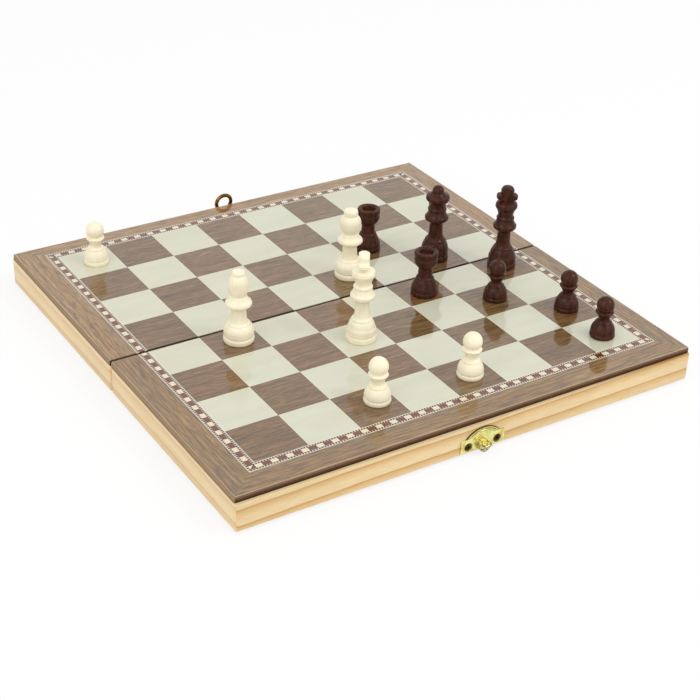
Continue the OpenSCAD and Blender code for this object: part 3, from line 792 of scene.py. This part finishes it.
brass = {
    # tones: where the metal is clean, and where it is clouded
    "bright": (tint(240, 234, 160), tint(206, 192, 104)),
    "knob": (tint(220, 208, 158), tint(104, 88, 42)),
    "aged": (tint(150, 104, 50), tint(92, 60, 26)),
    "screw": (tint(104, 76, 40), tint(52, 36, 20)),
    "cloudScale": 0.35,
    "knobCloudScale": 0.8,
    "cloudEdge": (0.4, 0.66),
    "scratch": (0.8, 0.8, 6),  # noise scales
    "roughness": 0.24,
    "roughnessSpread": 0.2,
    "bumpDepth": 0.02,
    "crease": 32,  # degrees
}
plate = {
    "middle": 1.0,  # x of both plates
    "lift": 1.5,
    "width": 28.0,
    "earHeight": 7.8,
    "domeHeight": 12.9,
    "domeWidth": 22.0,
    "domeSteps": 40,
    "thickness": 0.8,
    "bevel": 0.22,
    "screwPitch": 18.5,
    "screwHeight": 3.1,
    "shankHole": 0.85,  # radius
    "holeRadius": 2.4,
    "holeDepth": 0.9,
    "holeLip": 0.05,
    "holeFlare": 0.2,
    "ribInset": 1.7,
    "ribRadius": 0.45,
    "ribSteps": 32,
    "ribSides": 16,
}
plate["rise"] = plate["domeHeight"] - plate["earHeight"]
plate["domeRadius"] = ((plate["domeWidth"] / 2) ** 2 + plate["rise"] ** 2) / (2 * plate["rise"])
# painted shade on the plate: a dark olive tone at the rib, the dome's edge and the screw holes
creaseShade = {
    "tone": tint(92, 78, 28),
    "share": 0.8,
    "line": 0.1,  # distance of its middle from the rib and from a screw's hole
    "ribEdge": (0.1, 0.35),
    "domeEdge": (0.7, 0.2),  # how far inside the dome's edge it starts and is full
    "screwEdge": (0.15, 0.45),
    "earBlur": 0.4,
}
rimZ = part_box("front_wall")[0].z


# Painted shade beside the rib, along the dome's edge and round the screws
def withCreaseShade(surface, colour, x, z):
    fromX = x - plate["middle"]
    height = z - rimZ / mm - plate["lift"]
    radius, line = plate["domeRadius"], creaseShade["line"]
    fromCentre = (fromX ** 2 + (height - plate["domeHeight"] + radius) ** 2) ** 0.5
    toRib = abs(fromCentre - radius + plate["ribInset"])
    besideRib = 1 - abs(toRib - plate["ribRadius"] - line).step(*creaseShade["ribEdge"])
    atEdge = fromCentre.step(*(radius - inside for inside in creaseShade["domeEdge"]))
    aboveEars = height.step(plate["earHeight"], plate["earHeight"] + creaseShade["earBlur"])
    onDome = (besideRib * creaseShade["share"]).maths("MAXIMUM", atEdge) * aboveEars
    across = abs(fromX) - plate["screwPitch"] / 2
    toScrew = (across ** 2 + (height - plate["screwHeight"]) ** 2) ** 0.5
    roundScrew = 1 - abs(toScrew - plate["holeRadius"] + line).step(*creaseShade["screwEdge"])
    shadeShare = onDome.maths("MAXIMUM", roundScrew * creaseShade["share"])
    return surface.mix(shadeShare, colour, creaseShade["tone"])


def makeBrass(name, tones, cloudScale=brass["cloudScale"], isPlate=False):
    surface = Finish(name, {"Metallic": 1.0})
    x, y, z = place = surface.spot()
    cloud = surface.noise(surface.vector(*place), 4, 0.6, cloudScale)
    scratch = surface.noise(surface.stretched(place, brass["scratch"]), 3)
    colour = surface.mix(cloud.step(*brass["cloudEdge"]), *tones)
    surface.feed("Base Color", withCreaseShade(surface, colour, x, z) if isPlate else colour)
    surface.feed("Roughness", brass["roughness"] + (cloud - 0.5) * brass["roughnessSpread"])
    surface.bump(scratch, brass["bumpDepth"], 0.25)
    return surface.material


catchBrass = makeBrass("catchBrass", brass["bright"], isPlate=True)
brightBrass = makeBrass("brightBrass", brass["bright"])
knobBrass = makeBrass("knobBrass", brass["knob"], brass["knobCloudScale"])
agedBrass = makeBrass("agedBrass", brass["aged"])
screwBrass = makeBrass("screwBrass", brass["screw"])
paint(brightBrass, "front_hinge_leaves", "rear_hinge_leaves", "hinge_pins")


# From X along the wall, Y up from the rim and Z out of the wall, to the box's place
def onWall(half):
    isFront = half == "front"
    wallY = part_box(half + "_wall")[0 if isFront else 1].y
    facing = Matrix.Rotation(0 if isFront else math.pi, 4, "Z")
    turn = facing @ Matrix.Rotation(math.pi / 2, 4, "X")
    return Matrix.Translation((plate["middle"] * mm, wallY, rimZ)) @ turn


# An outline of (out, up), drawn out along X from x
def upright(name, outline, x, thickness, bevel=0.0):
    piece = prism(name, [(-out, up) for out, up in reversed(outline)], x, x + thickness, bevel)
    piece.data.transform(Matrix.Rotation(math.pi / 2, 4, "Y"))
    return piece


def makePlate(name, material):
    half, arc, ear = plate["width"] / 2, plate["domeWidth"] / 2, plate["earHeight"]
    dome = arcPoints(Vector((arc, ear)), Vector((-arc, ear)), plate["rise"], plate["domeSteps"])
    outline = [(-half, 0), (half, 0), (half, ear), (arc, ear)]
    outline += [tuple(p) for p in dome] + [(-half, ear)]
    thickness, hole, shank = plate["thickness"], plate["holeRadius"], plate["shankHole"]
    piece = prism(name, outline, 0, thickness, plate["bevel"])
    above = thickness + 1
    countersink = [
        (shank, -1), (shank, thickness - plate["holeDepth"], 0),
        (hole, thickness - plate["holeLip"], 0), (hole + plate["holeFlare"], above, 0),
        (0, above, 0),
    ]
    for side in (-1, 1):
        cutter = turned("cutter", countersink, material, rounding["fineFacets"])
        place = (side * plate["screwPitch"] / 2 * mm, plate["screwHeight"] * mm, 0)
        cutter.data.transform(Matrix.Translation(place))
        piece = merged(piece, cutter, "DIFFERENCE")
    piece.data.transform(Matrix.Translation((0, plate["lift"] * mm, 0)))
    return piece


def makeRib():
    radius = plate["domeRadius"] - plate["ribInset"]
    centre = plate["domeHeight"] - plate["domeRadius"] + plate["lift"]
    reach = math.asin((plate["domeWidth"] / 2 - 2 * plate["ribInset"]) / radius)
    steps = plate["ribSteps"]
    path = []
    for k in range(steps + 1):
        angle = reach * (2 * k / steps - 1)
        across, up = radius * math.sin(angle), centre + radius * math.cos(angle)
        path.append((across * mm, up * mm, plate["thickness"] * mm))
    rib = newPiece("rib", path, [(k, k + 1) for k in range(steps)])
    return applyTree(rib, drawnWire, {
        "Radius": plate["ribRadius"] * mm, "Sides": plate["ribSides"], "Material": catchBrass,
    })


def makeCatchPlate():
    piece = merged(makePlate("catchPlate", catchBrass), makeRib())
    piece.data.transform(onWall("front"))
    dress(piece, "front_half", "brass", catchBrass, brass["crease"], "catch_plate")


catch = {
    "height": 3.6,  # of the boss's middle above the rim
    "boss": [(3.5, 0.8), (3.5, 2.9, 0), (2.3, 4.05, 0.3), (0, 4.2, 0.05)],  # strokes, outwards
    "flat": 2.4,
    "cutter": (5, 9),  # half its width, and how far it reaches
    "reach": 6.3,
    "billRoot": 0.8,
    "billWidth": 4.8,
    "billRadius": 0.7,
    "lipSteps": 12,
    "bevel": 0.2,
}


def makeCatchBoss():
    flat, thick = catch["flat"], 2 * catch["billRadius"]
    boss = turned("catchBoss", catch["boss"], knobBrass)
    half, far = catch["cutter"]
    top = prism("top", [(-half, flat), (half, flat), (half, far), (-half, far)], -1, far)
    piece = merged(boss, top, "DIFFERENCE")
    root, bend = catch["billRoot"], catch["reach"] - catch["billRadius"]
    under, over = Vector((bend, flat - thick)), Vector((bend, flat))
    lip = arcPoints(under, over, catch["billRadius"], catch["lipSteps"])
    outline = [(root, flat), (root, flat - thick), (bend, flat - thick)]
    outline += [tuple(p) for p in lip]
    width = catch["billWidth"]
    piece = merged(piece, upright("bill", outline, -width / 2, width, catch["bevel"]))
    place = Matrix.Translation((0, catch["height"] * mm, 0))
    piece.data.transform(onWall("front") @ place)
    dress(piece, "front_half", "brass", knobBrass, brass["crease"], "catch_boss")


hasp = {
    "pivotHeight": 8.3,
    "pivotOut": 2.6,
    "lean": 5.4,
    "lugGap": 5.2,
    "lugThickness": 0.9,
    "lugRadius": 1.5,
    "lugRoot": 0.4,
    "lugSteps": 20,
    "lugBevel": 0.1,
    "boreRadius": 0.7,
    "boreLength": 12,
    "knuckleRadius": 1.4,
    "knuckleLength": 4.6,
    "knuckleBevel": 0.1,
    "shank": (3.6, 1.2),  # width and thickness
    "shankBevel": 0.25,
    "ringHeight": 12.1,  # of its middle above the pivot
    "ringRadius": 5.2,
    "ringSteps": 96,
    "wireRadius": 1.2,
    "wireSides": 32,
    # strokes of (radius, distance along the pin)
    "pin": [
        (0.6, -0.4), (1.1, -0.1, 0.1), (1.1, 0, 0), (0.65, 0, 0), (0.65, 7, 0), (1.1, 7, 0),
        (1.1, 7.1, 0), (0.6, 7.4, 0.1), (0, 7.4, 0),
    ],
}
pivot = Matrix.Translation((0, hasp["pivotHeight"] * mm, hasp["pivotOut"] * mm))
alongX = Matrix.Rotation(math.pi / 2, 4, "Y")


def bore():  # a cutter for the pin's hole, along X
    radius, half = hasp["boreRadius"], hasp["boreLength"] / 2
    strokes = [(radius, -half), (radius, half, 0), (0, half, 0)]
    cutter = turned("bore", strokes, agedBrass, rounding["fineFacets"])
    cutter.data.transform(alongX)
    return cutter


def makeHaspPlate():
    piece = makePlate("haspPlate", agedBrass)
    out, up, radius = hasp["pivotOut"], hasp["pivotHeight"], hasp["lugRadius"]
    under, over, root = Vector((out, up - radius)), Vector((out, up + radius)), hasp["lugRoot"]
    nose = arcPoints(under, over, radius, hasp["lugSteps"])
    outline = [(root, up + radius), (root, up - radius), (out, up - radius)]
    outline += [tuple(p) for p in nose]
    gap, thick = hasp["lugGap"] / 2, hasp["lugThickness"]
    for x in (-gap - thick, gap):
        piece = merged(piece, upright("lug", outline, x, thick, hasp["lugBevel"]))
    cutter = bore()
    cutter.data.transform(pivot)
    piece = merged(piece, cutter, "DIFFERENCE")
    piece.data.transform(onWall("rear"))
    dress(piece, "rear_half", "brass", agedBrass, brass["crease"], "hasp_plate")


def makeHaspPin():
    piece = turned("haspPin", hasp["pin"], agedBrass, rounding["fineFacets"])
    length = hasp["lugGap"] + 2 * hasp["lugThickness"]
    start = Matrix.Translation((-length / 2 * mm, 0, 0))
    piece.data.transform(onWall("rear") @ pivot @ start @ alongX)
    dress(piece, "rear_half", "brass", agedBrass, brass["crease"], "hasp_pin")


def makeHaspRing():
    steps, height, ring = hasp["ringSteps"], hasp["ringHeight"], hasp["ringRadius"]
    circle = []
    for k in range(steps):
        angle = math.tau * k / steps
        circle.append((ring * math.cos(angle) * mm, (height + ring * math.sin(angle)) * mm, 0))
    piece = newPiece("haspRing", circle, [(k, (k + 1) % steps) for k in range(steps)])
    applyTree(piece, drawnWire, {
        "Radius": hasp["wireRadius"] * mm, "Sides": hasp["wireSides"], "Material": agedBrass,
    })
    width, thick = hasp["shank"]
    side, reach = width / 2, height - ring
    outline = [(-side, 0), (side, 0), (side, reach), (-side, reach)]
    shank = prism("shank", outline, -thick / 2, thick / 2, hasp["shankBevel"])
    piece = merged(piece, shank)
    radius, half, bevel = hasp["knuckleRadius"], hasp["knuckleLength"] / 2, hasp["knuckleBevel"]
    knuckle = turned("knuckle", [
        (radius - bevel, -half), (radius, bevel - half, 0), (radius, half - bevel, 0),
        (radius - bevel, half, 0), (0, half, 0),
    ], agedBrass, rounding["fineFacets"])
    knuckle.data.transform(alongX)
    piece = merged(merged(piece, knuckle), bore(), "DIFFERENCE")
    lean = Matrix.Rotation(-math.radians(hasp["lean"]), 4, "X")
    piece.data.transform(onWall("rear") @ pivot @ lean)
    dress(piece, "hasp", "brass", agedBrass, brass["crease"], "hasp_ring")


makeCatchPlate()
makeCatchBoss()
makeHaspPlate()
makeHaspPin()
makeHaspRing()
print("catch and hasp made")


# Screws, set by Geometry Nodes

screws = {
    "length": 8.0,
    "tipRadius": 0.05,
    "shankRadius": 0.8,
    "headDepth": 0.9,
    "headBevel": 0.15,
    "headEdge": 0.05,
    "edgeBulges": (0.04, 0.02),
    "sink": 0.12,  # of the head below the brass around it
    "crown": 0.1,
    "slot": (1.3, 0.5, 0.55),  # length against the head's radius, width, depth
    # node: body, head radius, turn about X in degrees
    "catch_screws": ("front_half", 2.2, 90),
    "hasp_screws": ("rear_half", 2.2, -90),
    "front_hinge_screws": ("front_half", 1.7, 180),
    "rear_hinge_screws": ("rear_half", 1.7, 180),
}
hinge = {"x": 88.0, "screwPitch": 16.0, "screwOut": 5.16}


def makeScrew(headRadius):
    length, shank, top = screws["length"], screws["shankRadius"], -screws["sink"]
    bevel, edge = screws["headBevel"], screws["headEdge"]
    edgeBulge, crownBulge = screws["edgeBulges"]
    strokes = [
        (screws["tipRadius"], -length), (shank, 2 * shank - length, 0),
        (shank, -screws["headDepth"], 0), (headRadius - bevel, top - bevel, 0),
        (headRadius - bevel - edge, top - edge, edgeBulge), (0, top + screws["crown"], crownBulge),
    ]
    piece = turned("screw", strokes, screwBrass, rounding["fineFacets"])
    reach, width, depth = screws["slot"]
    long, short = reach * headRadius / 2, width / 2
    for a, b in ((long, short), (short, long)):
        slot = prism("slot", [(-a, -b), (a, -b), (a, b), (-a, b)], top - depth, 1)
        piece = merged(piece, slot, "DIFFERENCE")
    return piece


def screwPlaces(node):
    if node in ("catch_screws", "hasp_screws"):
        wall = onWall("front" if node == "catch_screws" else "rear")
        half, height = plate["screwPitch"] / 2 * mm, plate["lift"] + plate["screwHeight"]
        out = plate["thickness"] * mm
        return [wall @ Vector((side * half, height * mm, out)) for side in (-1, 1)]
    side = -1 if node.startswith("front") else 1
    fold = (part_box("front_hinge_leaves")[0].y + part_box("rear_hinge_leaves")[1].y) / 2
    away = fold + side * hinge["screwOut"] * mm
    half = hinge["screwPitch"] / 2
    return [((hand * hinge["x"] + step * half) * mm, away, rimZ)
            for hand in (-1, 1) for step in (-1, 1)]


for node in ("catch_screws", "hasp_screws", "front_hinge_screws", "rear_hinge_screws"):
    body, headRadius, turn = screws[node]
    screw = makeScrew(headRadius)
    piece = newPiece("set_" + node, screwPlaces(node))
    applyTree(piece, screwsInPlace, {
        "Screw": screw, "Turn": (math.radians(turn), 0, 0), "Material": screwBrass,
    })
    bpy.data.objects.remove(screw)
    dress(piece, body, "brass_screws", screwBrass, brass["crease"], node)
print("screws set")


# Chessmen

chessmen = {
    "creaseAngle": 34,
    "finialThickness": 6,
    "grainTurn": 50,  # radians to a metre: each piece's grain lies its own way
    "paleWood": (tint(246, 234, 200), tint(253, 245, 217)),
    "darkWood": (tint(42, 21, 14), tint(82, 43, 27)),
}

# A profile is a list of strokes: radius, height and bulge, from the foot to the crown
pawn = [
    (7.0, 0), (7.4, 0.6, 0.1), (7.4, 2.1, 0.1), (6.9, 2.8, 0), (7.2, 4.1, 0.15), (5.0, 9.2, 0.5),
    (4.8, 10.1, 0.15), (4.0, 10.5, 0), (3.4, 11.6, -0.15), (3.6, 13.2, -0.1), (5.2, 16.2, -0.1),
    (5.4, 16.8, 0.15), (4.8, 17.4, 0.05), (4.1, 17.8, 0), (0, 26.7, 3.1),
]
rook = [
    (7.4, 0), (7.9, 0.6, 0.1), (7.9, 2.4, 0.1), (7.4, 3.1, 0), (7.7, 4.5, 0.15), (7.2, 6.2, 0.15),
    (5.3, 10.4, 0.15), (5.1, 11.3, 0.15), (4.5, 11.8, 0), (4.2, 14.8, -0.1), (4.3, 17.4, -0.1),
    (5.5, 18.9, -0.15), (6.5, 20.6, 0.15), (6.8, 22.4, 0.15), (6.7, 23.6, 0.1), (6.3, 24.2, 0),
    (6.9, 24.9, 0.1), (7.0, 26.9, 0.05), (6.4, 27.9, 0.25), (4.8, 27.9, 0.1), (4.0, 27.0, 0.15),
    (3.5, 25.4, 0), (0, 25.2, 0),
]
bishop = [
    (8.2, 0), (8.7, 0.7, 0.15), (8.7, 2.7, 0.1), (8.1, 3.5, 0), (8.5, 5.4, 0.2), (6.5, 10.8, 0.8),
    (6.1, 11.6, 0.1), (5.2, 12.2, 0), (4.4, 16.0, -0.2), (4.2, 20.0, 0), (4.6, 21.0, 0),
    (7.0, 22.6, -0.1), (7.5, 23.8, 0.2), (7.0, 25.0, 0.1), (5.0, 27.4, -0.2), (4.4, 28.4, 0.1),
    (4.5, 29.2, 0),
]
slimHead = [
    (5.5, 34.6, 0.35), (3.2, 41.0, 0.85), (3.6, 41.6, 0.1), (3.5, 42.7, 0.1), (2.8, 43.3, 0.2),
    (0, 43.5, 0),
]
roundHead = [
    (6.1, 34.0, 0.45), (3.8, 40.0, 1.0), (4.2, 40.7, 0.1), (4.1, 42.6, 0.1), (3.4, 43.3, 0.2),
    (0, 43.6, 0),
]
queen = [
    (7.9, 0), (8.4, 0.7, 0.15), (8.4, 2.7, 0.1), (7.8, 3.5, 0), (8.2, 5.4, 0.2), (6.5, 12.2, 0.6),
    (6.0, 13.6, 0.15), (5.0, 14.4, 0), (4.2, 19.0, -0.2), (4.1, 23.6, 0), (4.5, 24.6, 0),
    (6.7, 26.4, -0.1), (7.2, 27.8, 0.2), (6.8, 29.0, 0.2), (5.6, 31.0, -0.1), (5.1, 32.2, 0),
    (5.6, 32.9, 0.15), (5.5, 34.2, 0.15), (5.1, 34.8, 0), (5.2, 36.8, -0.05), (6.9, 39.6, -0.15),
    (7.2, 41.0, 0.2), (6.8, 42.3, 0.15), (6.2, 42.6, 0.05), (4.6, 43.6, -0.2), (3.4, 44.6, 0),
    (3.6, 45.2, 0.1), (0, 48.7, 1.05),
]
king = [
    (8.2, 0), (8.6, 0.7, 0.15), (8.6, 2.8, 0.1), (8.0, 3.6, 0), (8.3, 5.6, 0.2), (7.6, 8.6, 0.3),
    (5.9, 12.6, 0.3), (5.6, 13.6, 0.15), (4.9, 14.3, 0), (4.1, 19.0, -0.2), (4.0, 23.4, 0),
    (4.4, 24.4, 0), (6.5, 26.2, -0.1), (7.0, 27.7, 0.2), (6.6, 28.9, 0.2), (5.6, 30.7, -0.1),
    (5.0, 32.0, 0), (5.3, 32.8, 0.15), (5.2, 33.9, 0.15), (4.6, 34.6, 0), (4.9, 37.0, -0.15),
    (6.2, 40.0, -0.1), (6.5, 41.7, 0.3), (5.8, 43.4, 0.25), (3.9, 44.2, 0.1), (3.9, 44.8, 0),
    (0, 44.9, 0),
]
finial = [
    (3.3, 44), (3.3, 45.3, 0), (5.8, 46.1, 0), (6.3, 47.3, 0.35), (5.8, 48.5, 0.35),
    (4.0, 49.0, 0), (3.9, 50.6, 0), (3.4, 52.9, 0.35), (2.2, 53.9, 0.25), (0, 54.2, 0.05),
]


# A profile made wider and taller by two factors
def resized(strokes, wide, tall):
    return [(wide * stroke[0], *(tall * value for value in stroke[1:])) for stroke in strokes]


darkPawn = resized(pawn, 0.97, 0.935)
darkKingTall = 0.98

# piece: profile, wood
setOut = {
    "white_king": (king, "paleWood"),
    "white_bishop_near": (bishop + slimHead, "paleWood"),
    "white_bishop_far": (bishop + roundHead, "paleWood"),
    "white_pawn_near": (pawn, "paleWood"),
    "white_pawn_right": (pawn, "paleWood"),
    "white_pawn_far": (pawn, "paleWood"),
    "dark_king": (resized(king, 1, darkKingTall), "darkWood"),
    "dark_queen": (queen, "darkWood"),
    "dark_rook_near": (rook, "darkWood"),
    "dark_rook_far": (rook, "darkWood"),
    "dark_pawn_inner": (darkPawn, "darkWood"),
    "dark_pawn_middle": (darkPawn, "darkWood"),
    "dark_pawn_outer": (darkPawn, "darkWood"),
}

# king: profile of its finial, and the finial's turn in degrees
finials = {
    "white_king": (finial, 58),
    "dark_king": (resized(finial, 1, darkKingTall), 147),
}


# Settings shared by the two turned woods, then each wood's own
turnedWood = {
    "wander": (0.06, 0.06, 0.02),  # noise scales
    "fleck": (3.5, 3.5, 0.35),
    "turning": (0.05, 0.05, 4.5),
    "wanderDepth": 5,
    "stretch": 0.25,  # of the grain along the piece
    "fleckShare": 0.3,
    # grain scale, bump depth, and the shader's fixed sockets
    "paleWood": (0.3, 0.03, {"Roughness": 0.42, "Coat Weight": 0.3, "Coat Roughness": 0.25}),
    "darkWood": (0.5, 0.05, {
        "Roughness": 0.4, "Coat Weight": 0.25, "Coat Roughness": 0.14,
        "Specular IOR Level": 0.05,
    }),
}


def makeTurnedWood(wood):
    grainScale, bumpDepth, fixed = turnedWood[wood]
    surface = Finish(wood.replace("Wood", "TurnedWood"), fixed)
    x, y, z = place = surface.spot()
    wander = surface.noise(surface.stretched(place, turnedWood["wander"]))
    bent = x * grainScale + wander * turnedWood["wanderDepth"]
    grainPlace = surface.vector(bent, y * grainScale, z * grainScale * turnedWood["stretch"])
    grain = surface.noise(grainPlace, 4, 0.6)
    fleck = surface.noise(surface.stretched(place, turnedWood["fleck"]), 3, 0.6)
    turning = surface.noise(surface.stretched(place, turnedWood["turning"]))
    share = turnedWood["fleckShare"]
    level = grain * (1 - share) + fleck * share
    surface.feed("Base Color", surface.between(level, 0.36, 0.62, chessmen[wood]))
    surface.bump(turning + fleck * 0.5, bumpDepth, 0.5)
    return surface.material


turnedWoods = {wood: makeTurnedWood(wood) for wood in ("paleWood", "darkWood")}


# The finial is turned with the rest and then milled flat on two sides
def milledFinial(name, material):
    strokes, turn = finials[name]
    piece = turned("finial", strokes, material)
    cut = bmesh.new()
    cut.from_mesh(piece.data)
    for side in (-1, 1):
        face = Vector((0, side * chessmen["finialThickness"] / 2 * mm, 0))
        whole = cut.verts[:] + cut.edges[:] + cut.faces[:]
        sliced = bmesh.ops.bisect_plane(
            cut, geom=whole, plane_co=face, plane_no=(0, side, 0), clear_outer=True,
        )
        cutEdges = [e for e in sliced["geom_cut"] if isinstance(e, bmesh.types.BMEdge)]
        bmesh.ops.contextual_create(cut, geom=cutEdges)
    bmesh.ops.triangulate(cut, faces=[f for f in cut.faces if len(f.verts) > 4])
    bmesh.ops.recalc_face_normals(cut, faces=cut.faces)
    cut.to_mesh(piece.data)
    cut.free()
    piece.data.transform(Matrix.Rotation(math.radians(turn), 4, "Z"))
    return piece


slots = {"paleWood": "pale_turned_wood", "darkWood": "dark_turned_wood"}

for name, (strokes, wood) in setOut.items():
    low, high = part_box(name)
    piece = turned("turned_" + name, strokes, turnedWoods[wood])
    if name in finials:
        piece = merged(piece, milledFinial(name, turnedWoods[wood]))
    else:
        piece.data.transform(Matrix.Rotation(low.x * chessmen["grainTurn"], 4, "Z"))
    foot = ((low.x + high.x) / 2, (low.y + high.y) / 2, low.z)
    piece.data.transform(Matrix.Translation(foot))
    dress(piece, name, slots[wood], turnedWoods[wood], chessmen["creaseAngle"], name)
print("chessmen turned:", len(setOut))


# Floor, light and camera

studio = {
    "floorSize": 12.0,
    "floorColour": tint(248, 248, 248),
    "floorClear": 0.8,
    "skyColour": (1, 1, 1, 1),
    "skyStrength": 0.8,
    # lamp: place, size, watts
    "keyLamp": ((0.9, -0.9, 1.5), 1.4, 6.0),
    "fillLamp": ((-1.3, -0.5, 1.2), 1.4, 6.0),
    "glintLamp": ((0.75, -1.0, 1.4), 0.14, 3.0),
}


# 1 where the camera, a gloss or a glass looks, 0 for the light on the object
def seenDirectly(tree):
    path = tree.add("ShaderNodeLightPath", output="Is Camera Ray")
    mirrored = path.maths("MAXIMUM", path.other("Is Glossy Ray"))
    return mirrored.maths("MAXIMUM", path.other("Is Transmission Ray"))


def makeFloor():
    half = studio["floorSize"] / 2
    corners = [(-half, -half, 0), (half, -half, 0), (half, half, 0), (-half, half, 0)]
    floor = newPiece("floor", corners, faces=[(0, 1, 2, 3)])
    paper = bpy.data.materials.new("whitePaper")
    paper.use_nodes = True
    tree = Tree(paper.node_tree)
    tree.nodes.clear()
    clearness = seenDirectly(tree) * studio["floorClear"]
    matt = tree.add("ShaderNodeBsdfDiffuse", None, {"Color": studio["floorColour"]})
    clear = tree.add("ShaderNodeBsdfTransparent")
    blend = tree.add("ShaderNodeMixShader", None, {0: clearness, 1: matt, 2: clear})
    tree.add("ShaderNodeOutputMaterial", None, {"Surface": blend})
    floor.data.materials.append(paper)


def makeSky():
    world = bpy.data.worlds.new("studio")
    bpy.context.scene.world = world
    world.use_nodes = True
    tree = Tree(world.node_tree)
    tree.nodes.clear()
    seen = seenDirectly(tree)
    strength = seen + (1 - seen) * studio["skyStrength"]
    inputs = {"Color": studio["skyColour"], "Strength": strength}
    sky = tree.add("ShaderNodeBackground", None, inputs)
    tree.add("ShaderNodeOutputWorld", None, {"Surface": sky})


def makeLamp(name):
    place, size, watts = studio[name]
    light = bpy.data.lights.new(name, "AREA")
    light.shape = "DISK"
    light.size = size
    light.energy = watts
    lamp = bpy.data.objects.new(name, light)
    lamp.location = place
    lamp.rotation_euler = (-Vector(place)).to_track_quat("-Z", "Y").to_euler()
    bpy.context.scene.collection.objects.link(lamp)


makeFloor()
makeSky()
for name in ("keyLamp", "fillLamp", "glintLamp"):
    makeLamp(name)
print("studio lit")

view = {
    "place": (-0.4252, -0.6723, 0.4659),
    "right": (0.8497, -0.5264, 0.0315),
    "up": (0.2489, 0.4529, 0.8561),
    "lens": 80.13,
    "sensor": 36.0,
    "halfPixel": 0.5 / 700,  # of the frame's width
    "clip": (0.05, 50),
}


def makeCamera():
    lens = bpy.data.cameras.new("camera")
    lens.lens = view["lens"]
    lens.sensor_width = view["sensor"]
    lens.shift_x = -view["halfPixel"]
    lens.shift_y = view["halfPixel"]
    lens.clip_start, lens.clip_end = view["clip"]
    camera = bpy.data.objects.new("camera", lens)
    right = Vector(view["right"]).normalized()
    back = right.cross(Vector(view["up"])).normalized()
    up = back.cross(right)
    turn = Matrix((right, up, back)).transposed()
    camera.matrix_world = Matrix.Translation(view["place"]) @ turn.to_4x4()
    bpy.context.scene.collection.objects.link(camera)
    bpy.context.scene.camera = camera


makeCamera()
bpy.context.scene.view_settings.view_transform = "Standard"
print("camera set")
